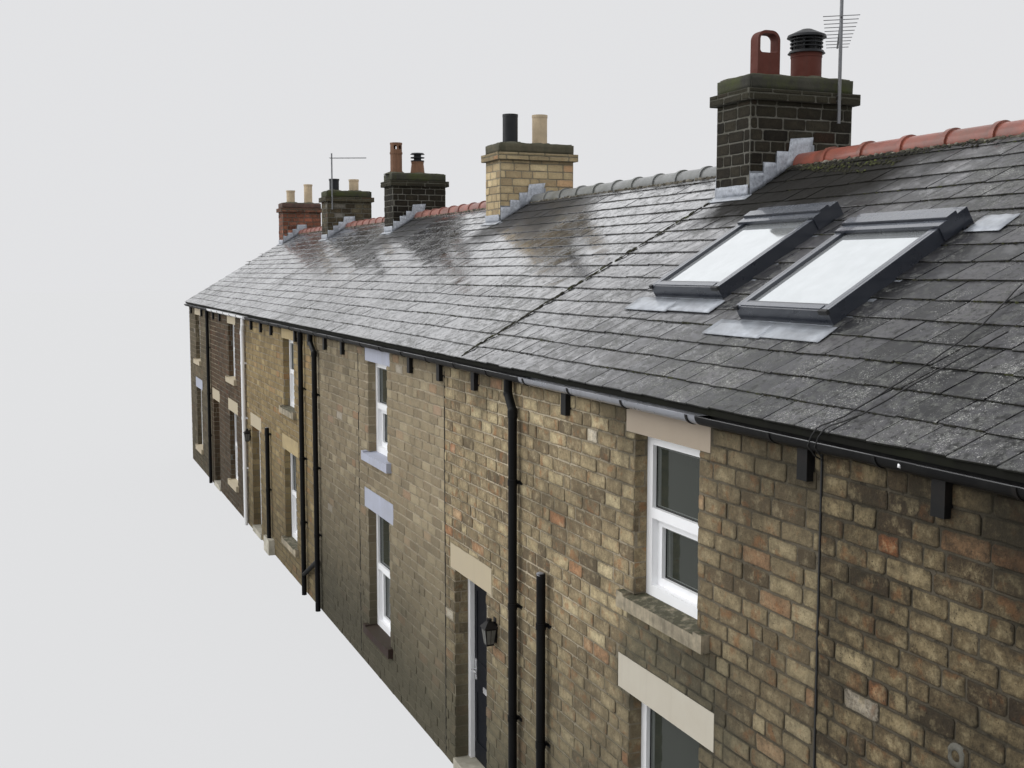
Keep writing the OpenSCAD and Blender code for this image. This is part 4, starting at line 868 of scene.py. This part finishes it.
# Mortar on top of the stacks, banked up against each pot
m = Mesh()
for cx, d in stacks:
    m.sheet(lambda u, v, e: (cx + u, v, STACK_TOP + e), -STACK_HALF + 0.02, STACK_HALF - 0.02,
            -d + 0.02, d - 0.02, 0.014, 0.02, 8, 14, 0.005)
for node in ("pots_red", "pots_pale", "pots_black"):
    for lo, hi in islands(node):
        if lo.z < STACK_TOP + 0.01:
            cx, cy = centre(lo, hi)
            m.clump(lambda u, v, e: (cx + u, cy + v, STACK_TOP + e), 0, 0, 0.0,
                    (hi.x - lo.x) / 2 + 0.09, (hi.y - lo.y) / 2 + 0.09, 0.06, 0.5, 14)
m.make("stack_mortar", "flaunching", "concrete", True)

# ---------------------------------------------------------------- slates


def slope_at(s):
    """Point of a slope: u along the row, v up the slope from the eaves, d square to it."""
    def at(u, v, d):
        y = EAVES_Y - v * cos(PITCH)
        z = roof_z(EAVES_Y) + v * sin(PITCH)
        return (u, s * (y + d * sin(PITCH)), z + d * cos(PITCH))
    return at


def slope_v(y):
    return (EAVES_Y - abs(y)) / cos(PITCH)


windows = [(lo, hi) for lo, hi in islands("roof_window_frames") if hi.x - lo.x > 0.5]


def slope_holes(s):
    out = [(cx - 0.298, cx + 0.298, slope_v(d + 0.002), SLOPE_L + 1) for cx, d in stacks]
    if s < 0:
        out += [(lo.x + 0.012, hi.x - 0.012, slope_v(lo.y) + 0.03, slope_v(hi.y) - 0.06)
                for lo, hi in windows]
    return out


def wander(u, row):
    """Slow drift of a course line up and down the slope."""
    return 0.006 * sin(u * 0.83 + row * 1.7) + 0.004 * sin(u * 2.3 + row)


def lay_slate(mesh, s, part, joints, top, roll, ragged, tone):
    """One slate, or what a hole leaves of it; an end that is a joint leans with the others."""
    at = slope_at(s)
    u0, u1, v0, v1 = part
    lean = SLATE_LEAN * (v1 - v0)
    ends = (u0, u1, u0 + (lean if u0 == joints[0] else 0.0), u1 + (lean if u1 == joints[1] else 0.0))
    low_a, low_b, top_a, top_b = (max(-SLATE_END, min(SLATE_END, u)) for u in ends)
    if low_b - low_a < 0.02 or top_b - top_a < 0.005:
        return
    head = top - SLATE_FALL * (v1 - v0) / GAUGE
    va, vb = (v0 + sway(0.003) * ragged for _ in range(2))
    foot = [at(low_a, va, BED), at(low_b, vb, BED)]
    tail = foot + [at(low_b, vb, top + roll - ARRIS), at(low_a, va, top - roll - ARRIS)]
    face = [at(low_a, va + BEVEL, top - roll), at(low_b, vb + BEVEL, top + roll),
            at(top_b, v1, head + roll * 0.3), at(top_a, v1, head - roll * 0.3)]
    foot += [at(top_b, v1, BED), at(top_a, v1, BED)]
    faces = [[0, 1, 2, 3], [3, 2, 5, 4], [4, 5, 6, 7], [8, 4, 7, 11], [9, 10, 6, 5]]
    if s > 0:
        faces = [f[::-1] for f in faces]
    # Rim 0 on the tail edge, where the slate finish paints shadow with moss
    mesh.solid(tail + face + foot, faces, tone, [0.0] * 4 + [1.0] * 4 + [0.0] * 4)


# Lines of thick moss on the front: u, v from, u, v to, count, tone, width, height
MOSS_LINES = ((5.18, 3.05, 4.65, 0.06, 170, 0.3, 0.3, 1.1), (7.5, 3.3, 6.0, 3.44, 190, 0.45, 0.45, 0.45),
              (7.2, 3.18, 6.2, 3.38, 90, 0.4, 0.35, 0.35), (8.4, 3.475, 5.6, 3.475, 260, 0.2, 0.6, 0.5))

for s, name in ((-1, "front"), (1, "rear")):
    m, moss = Mesh(), Mesh()
    at = slope_at(s)
    holes = slope_holes(s)
    row = 0
    while row * GAUGE < SLOPE_L - 0.05:
        u = -HALF_L - uniform(0, SLATE_W) - 0.06
        while u < HALF_L:
            wide = SLATE_W * uniform(0.93, 1.07)
            u += wide
            near = u > NEAR_X
            v0 = row * GAUGE - 0.02 + (wander(u, row) if row else 0.0)
            slip = sway(0.003) if rng.random() < 0.92 else uniform(-0.014, 0.006)
            v0 += slip if row else 0.0
            v1 = min(v0 + GAUGE * SLATE_LAP, SLOPE_L - 0.002)
            tone, lift = rng.random(), uniform(0.0, 0.0025)
            if rng.random() > 0.03:
                tone *= 0.93
            roll = sway(0.0022)
            gap = 0.0048 if s < 0 and near else 0.0022
            a, b = u - wide + gap, u - gap
            for part in cut_out((a, b, v0, v1), [h for h in holes if h[2] < v1 and h[3] > v0]):
                lay_slate(m, s, part, (a, b), SLATE_TOP + lift, roll, 2.0 if near else 1.0, tone)
        # Moss along the tails of every course but the lowest
        u = -MOSS_END if row else HALF_L
        while u < MOSS_END:
            thick = 0.3 if s > 0 else (2.0 if u > 7.0 else 0.6)
            u += rng.expovariate(1.0) * 0.075 / thick + 0.012
            v = row * GAUGE - 0.026 + wander(u, row)
            if any(h[0] < u < h[1] and h[2] < v < h[3] for h in holes) or u > MOSS_END:
                continue
            green = max(0.0, sin(u * 0.7 + row * 2.1)) * 0.4
            moss.clump(at, u, v + 0.006, 0.004, uniform(0.006, 0.024), uniform(0.004, 0.008),
                       uniform(0.005, 0.012), min(1.0, uniform(0.0, 0.3) + green), 5)
        row += 1
    m.make("slates_laid_" + name, "slate", "slate")
    for u0, w0, u1, w1, count, tone, wide, tall in MOSS_LINES if s < 0 else ():
        for _ in range(count):
            t = rng.random()
            moss.clump(at, u0 + (u1 - u0) * t + wide * rng.gauss(0, 0.03),
                       w0 + (w1 - w0) * t + tall * rng.gauss(0, 0.05), 0.014,
                       wide * uniform(0.015, 0.04), tall * uniform(0.02, 0.045),
                       0.5 * uniform(0.01, 0.022), min(1.0, max(0.0, rng.gauss(tone, 0.2))))
    moss.make("moss_" + name, "moss", "slate")

# Bedding mortar and moss along both sides of the ridge tiles
m = Mesh()
for s in (-1, 1):
    at = slope_at(s)
    u = -MOSS_END
    while u < MOSS_END:
        u += uniform(0.03, 0.085)
        if any(abs(u - cx) < STACK_HALF + 0.05 for cx, d in stacks) or u > MOSS_END:
            continue
        m.clump(at, u, slope_v(0.115 + uniform(0, 0.02)), 0.004, uniform(0.02, 0.06),
                uniform(0.014, 0.03), uniform(0.015, 0.032), uniform(0, 0.8))
m.make("ridge_bedding", "bedding", "concrete")

# ---------------------------------------------------------------- lead


def lead_steps(mesh, cx, d, side):
    """Lapped sheets that climb one face of a stack with the roof, and a tall one at the ridge."""
    face = cx + side * STACK_HALF
    step = (d - 0.15) / 3
    steps = [(-d + 0.004 + k * step, -d + 0.03 + (k + 1) * step, 0.11 + 0.02 * k) for k in range(3)]
    ridge = (-0.19, 0.07, 0.2)
    for k, piece in enumerate(steps + [ridge] + [(-b, -a, rise) for a, b, rise in steps]):
        y0, y1, rise = piece
        high = roof_z(min(abs(y0), abs(y1)) if y0 * y1 > 0 else 0.0) + rise
        slant = sway(0.012) + (0.02 if piece == ridge else 0.0)
        fan = 0.05 if piece == ridge else 0.0

        def at(u, v, e):
            foot = roof_z(u) + ON_SLATES
            top = high + slant * (u - y0) / (y1 - y0)
            return (face + side * e, u + fan * v, foot + (top - foot) * v)
        mesh.sheet(at, y0, y1, 0.0, 1.0, 0.017 + 0.0025 * k, 0.006, 4, 4, 0.0035,
                   uniform(0.3, 0.8))


m, pale = Mesh(), Mesh()
front_slope = slope_at(-1)
for lo, hi in windows:
    v = slope_v(lo.y)
    pale.sheet(front_slope, lo.x - 0.19, lo.x + 0.52, v - 0.15, v + 0.035, 0.021, 0.006, 8, 3, 0.0022)
    pale.sheet(front_slope, lo.x + 0.5, hi.x + 0.07, v - 0.135, v + 0.035, 0.0225, 0.006, 8, 3, 0.0022)
pale.sheet(front_slope, 9.42, 9.72, 2.06, 2.26, 0.021, 0.006, 5, 3, 0.003)
for cx, d in stacks:
    for s in (-1, 1):
        v = slope_v(d)
        left = max(cx - STACK_HALF - 0.02, -HALF_L + 0.004)
        pale.sheet(slope_at(s), left, cx + STACK_HALF + 0.06, v - 0.09, v, 0.02, 0.006, 10, 3, 0.003)
        low = roof_z(d) + ON_SLATES
        m.sheet(lambda u, w, e: (cx + u, s * (d + e), w), -STACK_HALF + 0.004, STACK_HALF - 0.004,
                low, low + 0.1, 0.0155, 0.003, 9, 3, 0.003)
    # The outer faces of the end stacks stand past the slates and have none
    for side in (1, -1):
        if cx * side < END_STACK_X:
            lead_steps(m, cx, d, side)
m.make("lead_laid", "lead_sheet", "lead", True)
pale.make("lead_aprons", "lead_pale", "lead", True)

# ---------------------------------------------------------------- small parts

# Bright lips along the front edges of the gutters, in lengths that sag a little
for node, finish, slot in (
        ("gutters_black", "lip_black", "plastic_black"), ("gutter_grey", "plastic_grey", "plastic_grey"),
        ("gutter_white", "plastic_white", "plastic_white")):
    m = Mesh()
    for lo, hi in islands(node):
        s = -1 if lo.y < 0 else 1
        y = s * (max(abs(lo.y), abs(hi.y)) - 0.0035)
        x = lo.x
        while x < hi.x - 0.01:
            end = min(x + 2.0, hi.x)
            m.tube([(x + 0.002, y, hi.z + 0.001), ((x + end) / 2, y, hi.z + 0.0005),
                    (end - 0.002, y, hi.z + 0.001)], 0.0042)
            x = end
    m.make(node + "_lip", finish, slot, True)

# Gaskets and spacer bars round every pane, and thin upright strips on the front ones, painted
# reflections of inner frames
gasket, spacers_and_reflections = Mesh(), Mesh()
for s, node in ((-1, "window_glass"), (1, "rear_window_glass")):
    for lo, hi in islands(node):
        y = max(abs(lo.y), abs(hi.y))
        for mesh, off, wide, out in ((gasket, 0.0, 0.006, 0.006), (spacers_and_reflections, 0.016, 0.005, 0.0015)):
            x0, x1, z0, z1 = lo.x + off, hi.x - off, lo.z + off, hi.z - off
            near, far = sorted((s * (y + out), s * (y + 0.0003)))
            for a0, a1, b0, b1 in ((x0, x1, z0, z0 + wide), (x0, x1, z1 - wide, z1),
                                   (x0, x0 + wide, z0 + wide, z1 - wide),
                                   (x1 - wide, x1, z0 + wide, z1 - wide)):
                mesh.box((a0, near, b0), (a1, far, b1))
        # Painted reflections: three light strips just in front of each front pane
        for off, wide in ((0.03, 0.004), (0.041, 0.008), (0.058, 0.004)) if s < 0 else ():
            z1 = lo.z + (hi.z - lo.z) * uniform(0.93, 0.97)
            spacers_and_reflections.box((lo.x + off, -y - 0.001, lo.z + 0.022), (lo.x + off + wide, -y - 0.0003, z1))
gasket.make("window_gaskets", "cable_black", "cable_black")
spacers_and_reflections.make("window_spacers_and_reflections", "bar_grey", "metal_grey")

# Roof windows: side strips, foot bar and hood plates, then dark corner blocks and gaskets.
# x from, x to from the middle, v from, v to from the foot, height, thickness, steps, wave
COVERS = [(x0, x1, 0.006, 0.995, 0.1155, 0.004, 1, 6, 0.0004)
          for x0, x1 in ((-0.525, -0.499), (-0.495, -0.455), (0.499, 0.525), (0.455, 0.495))]
COVERS += [(-0.48, 0.435, 0.018, 0.062, 0.1175, 0.006, 6, 1, 0.0004)]
COVERS += [(-0.535, 0.535, v0, v1, d, 0.002, 6, 1, 0.0003)
           for v0, v1, d in ((1.004, 1.075, 0.1315), (1.085, 1.166, 0.1495), (1.176, 1.26, 0.1255))]
SEALS = [(x0, x1, -0.012, 0.012, 0.119, 0.03, 2, 1, 0.0004)
         for x0, x1 in ((-0.529, -0.485), (0.44, 0.529))]
SEALS += [(x0, x0 + 0.005, 0.085, 1.0, 0.0935, 0.002, 1, 6, 0.0002) for x0 in (-0.453, 0.448)]
covers, seals = Mesh(), Mesh()
for lo, hi in windows:
    cx = (lo.x + hi.x) / 2
    foot = slope_v(lo.y) + 0.112 * tan(PITCH)
    for mesh, table in ((covers, COVERS), (seals, SEALS)):
        for x0, x1, v0, v1, *rest in table:
            mesh.sheet(front_slope, cx + x0, cx + x1, foot + v0, foot + v1, *rest)
covers.make("roof_window_covers", "cover_grey", "frame_anthracite")
seals.make("roof_window_gaskets", "cable_black", "cable_black")

# Cables over the slates that come down to the wall cable
m = Mesh()
for track in ([(10.47, 1.42), (10.56, 1.0), (10.53, 0.66), (10.5, 0.45), (10.42, 0.1), (10.33, -0.02)],
              [(10.78, 0.96), (10.66, 0.6), (10.6, 0.42), (10.52, 0.14), (10.38, -0.02)]):
    path = []
    for (a0, b0), (a1, b1) in zip(track, track[1:]):
        for k in range(5):
            t = k / 5
            path.append(front_slope(a0 + (a1 - a0) * t, b0 + (b1 - b0) * t,
                                    0.029 + 0.002 * sin(k * 2.0)))
    x0 = path[-1][0]
    path += [(x0 - 0.02, -3.145, 4.36), (x0 - 0.05, -3.1565, 4.315), (x0 - 0.08, -3.1555, 4.26),
             (x0 - 0.09, -3.1, 4.2), (10.22, -3.035, 4.17)]
    m.tube(path, 0.0045)
m.make("roof_cables", "cable_black", "cable_black", True)

# A vent with a stone collar, and a black lump in its hole as painted shade
m, dark = Mesh(), Mesh()
count = 14
ring = []
for r, d in ((0.056, 0.001), (0.05, 0.013), (0.03, 0.015), (0.026, 0.004)):
    for i in range(count):
        a = TURN * i / count
        r_at = r * (1.0 + 0.16 * abs(sin(2 * a)) * (r > 0.04))
        ring.append(front_at(VENT[0] + r_at * cos(a) * uniform(0.93, 1.06),
                             VENT[1] + r_at * sin(a), d))
m.solid(ring, [quad for k in range(3) for quad in girdle(k * count, count)])
m.make("wall_vent_collar", "mortar_stack", "stone_sill", True)
dark.clump(front_at, *VENT, 0.003, 0.027, 0.027, 0.004, 0.0, 12)
dark.make("wall_vent_hole", "iron_black", "iron_black")

# A white clip on the gutter
m = Mesh()
m.clump(lambda u, v, d: (u, -3.146 - d, v), 10.98, 4.262, 0.0, 0.013, 0.016, 0.014, 0.5, 8)
m.make("gutter_clip_white", "plastic_white", "plastic_white")

# Dark upright joints in the front
m = Mesh()
for x in UPRIGHT_JOINTS:
    z = JOINT_SLOT[2]
    while z < JOINT_SLOT[3]:
        m.sheet(front_at, x - 0.006 + sway(0.002), x + 0.006, z, z + COURSE, 0.0095,
                0.008, 1, 3, 0.0008)
        z += COURSE
m.make("upright_joints", "joint_dark", "brick_pale")

# Pale cut ends of the two short pipes
m = Mesh()
for lo, hi in islands("downpipes_black"):
    if hi.z < 3.2 and lo.y < 0:
        cx, cy = (lo.x + hi.x) / 2, lo.y + 0.039
        m.clump(lambda u, v, d: (cx + u, cy + v, hi.z - 0.003 + d - 0.25 * u), 0, 0, 0.0, 0.037,
                0.037, 0.012, 0.5, 12)
m.make("short_pipe_ends", "plastic_grey", "plastic_grey", True)

# Panes of the lanterns
m = Mesh()
for lo, hi in islands("lanterns"):
    if hi.y - lo.y < 0.1:
        continue
    cx, cy = (lo.x + hi.x) / 2, lo.y + 0.07
    for turn in range(4):
        def at(u, v, e):
            half = (0.052 + (0.084 - 0.052) * v) * cos(pi / 4)
            px, py = half + e, u * half
            for _ in range(turn):
                px, py = -py, px
            return (cx + px, cy + py, lo.z + 0.17 * v)
        for u0, u1 in ((-0.8, -0.06), (0.06, 0.8)):
            m.sheet(at, u0, u1, 0.1, 0.9, 0.0012, 0.001, 1, 2, 0.0001)
m.make("lantern_panes", "lamp_glass", "iron_black")

# A stone at the foot of the wall
m = Mesh()
m.sheet(lambda u, v, d: (u, v, 0.28 + d), -6.35, -5.86, -HALF_D - 0.12, -HALF_D - 0.002, 0.0, 0.28,
        8, 3, 0.005)
m.make("foot_stone", "step_stone", "step_stone")

# ---------------------------------------------------------------- floor, light, camera

FLOOR = 300.0
floor_data = bpy.data.meshes.new("floor")
floor_data.from_pydata([(-FLOOR, -FLOOR, 0), (FLOOR, -FLOOR, 0), (FLOOR, FLOOR, 0),
                        (-FLOOR, FLOOR, 0)], [], [[0, 1, 2, 3]])
floor = add_object("floor", floor_data)
# The floor shows almost evenly pale, and lights the row as a dull grey
fs = Shader("floor_pale")
fs.finish((0.34, 0.34, 0.335), 0.9)
rays = fs.add("LightPath")
shown = fs.add("Emission", Color=(0.795, 0.8, 0.812), Strength=1.0)
both = fs.add("MixShader")
for number, value in ((0, fs.times(rays.outputs["Is Camera Ray"], 0.88)), (1, fs.bsdf.outputs[0]),
                      (2, shown.outputs[0])):
    fs.put(both.inputs[number], value)
fs.put(fs.tree.nodes["Material Output"].inputs["Surface"], both.outputs[0])
floor_data.materials.append(fs.mat)

# Overcast sky, brightest a little above the horizon
world = bpy.data.worlds.new("overcast")
bpy.context.scene.world = world
world.use_nodes = True
wt = world.node_tree
coord = wt.nodes.new("ShaderNodeTexCoord")
split = wt.nodes.new("ShaderNodeSeparateXYZ")
sky = wt.nodes.new("ShaderNodeValToRGB")
SKY = ((0.0, 0.76), (0.22, 0.76), (0.36, 1.15), (0.7, 1.0))
while len(sky.color_ramp.elements) < len(SKY):
    sky.color_ramp.elements.new(0.5)
for item, (place, gain) in zip(sky.color_ramp.elements, SKY):
    item.position = place
    item.color = (gain, gain * 1.005, gain * 1.025, 1)
wt.links.new(coord.outputs["Generated"], split.inputs[0])
wt.links.new(split.outputs["Z"], sky.inputs[0])
wt.links.new(sky.outputs[0], wt.nodes["Background"].inputs["Color"])
wt.nodes["Background"].inputs["Strength"].default_value = 1.0

sun_data = bpy.data.lights.new("soft_sun", "SUN")
sun_data.energy = 1.4
sun_data.angle = radians(60)
add_object("soft_sun", sun_data).rotation_euler = (radians(60), 0.0, radians(-28))

# The photograph's camera: its focal length and width in pixels, place and direction
FOCAL_PX, PHOTO_PX, SENSOR = 1180.03, 1024, 36.0
cam_data = bpy.data.cameras.new("camera")
cam_data.sensor_width = SENSOR
cam_data.lens = SENSOR * FOCAL_PX / PHOTO_PX
cam_data.clip_end = 500
cam = add_object("camera", cam_data)
cam.location = (15.4456, -6.9411, 5.1864)
cam.rotation_mode = "QUATERNION"
cam.rotation_quaternion = Vector((-0.9231, 0.3725, -0.09559)).to_track_quat("-Z", "Y")
bpy.context.scene.camera = cam
bpy.context.scene.view_settings.view_transform = "Standard"
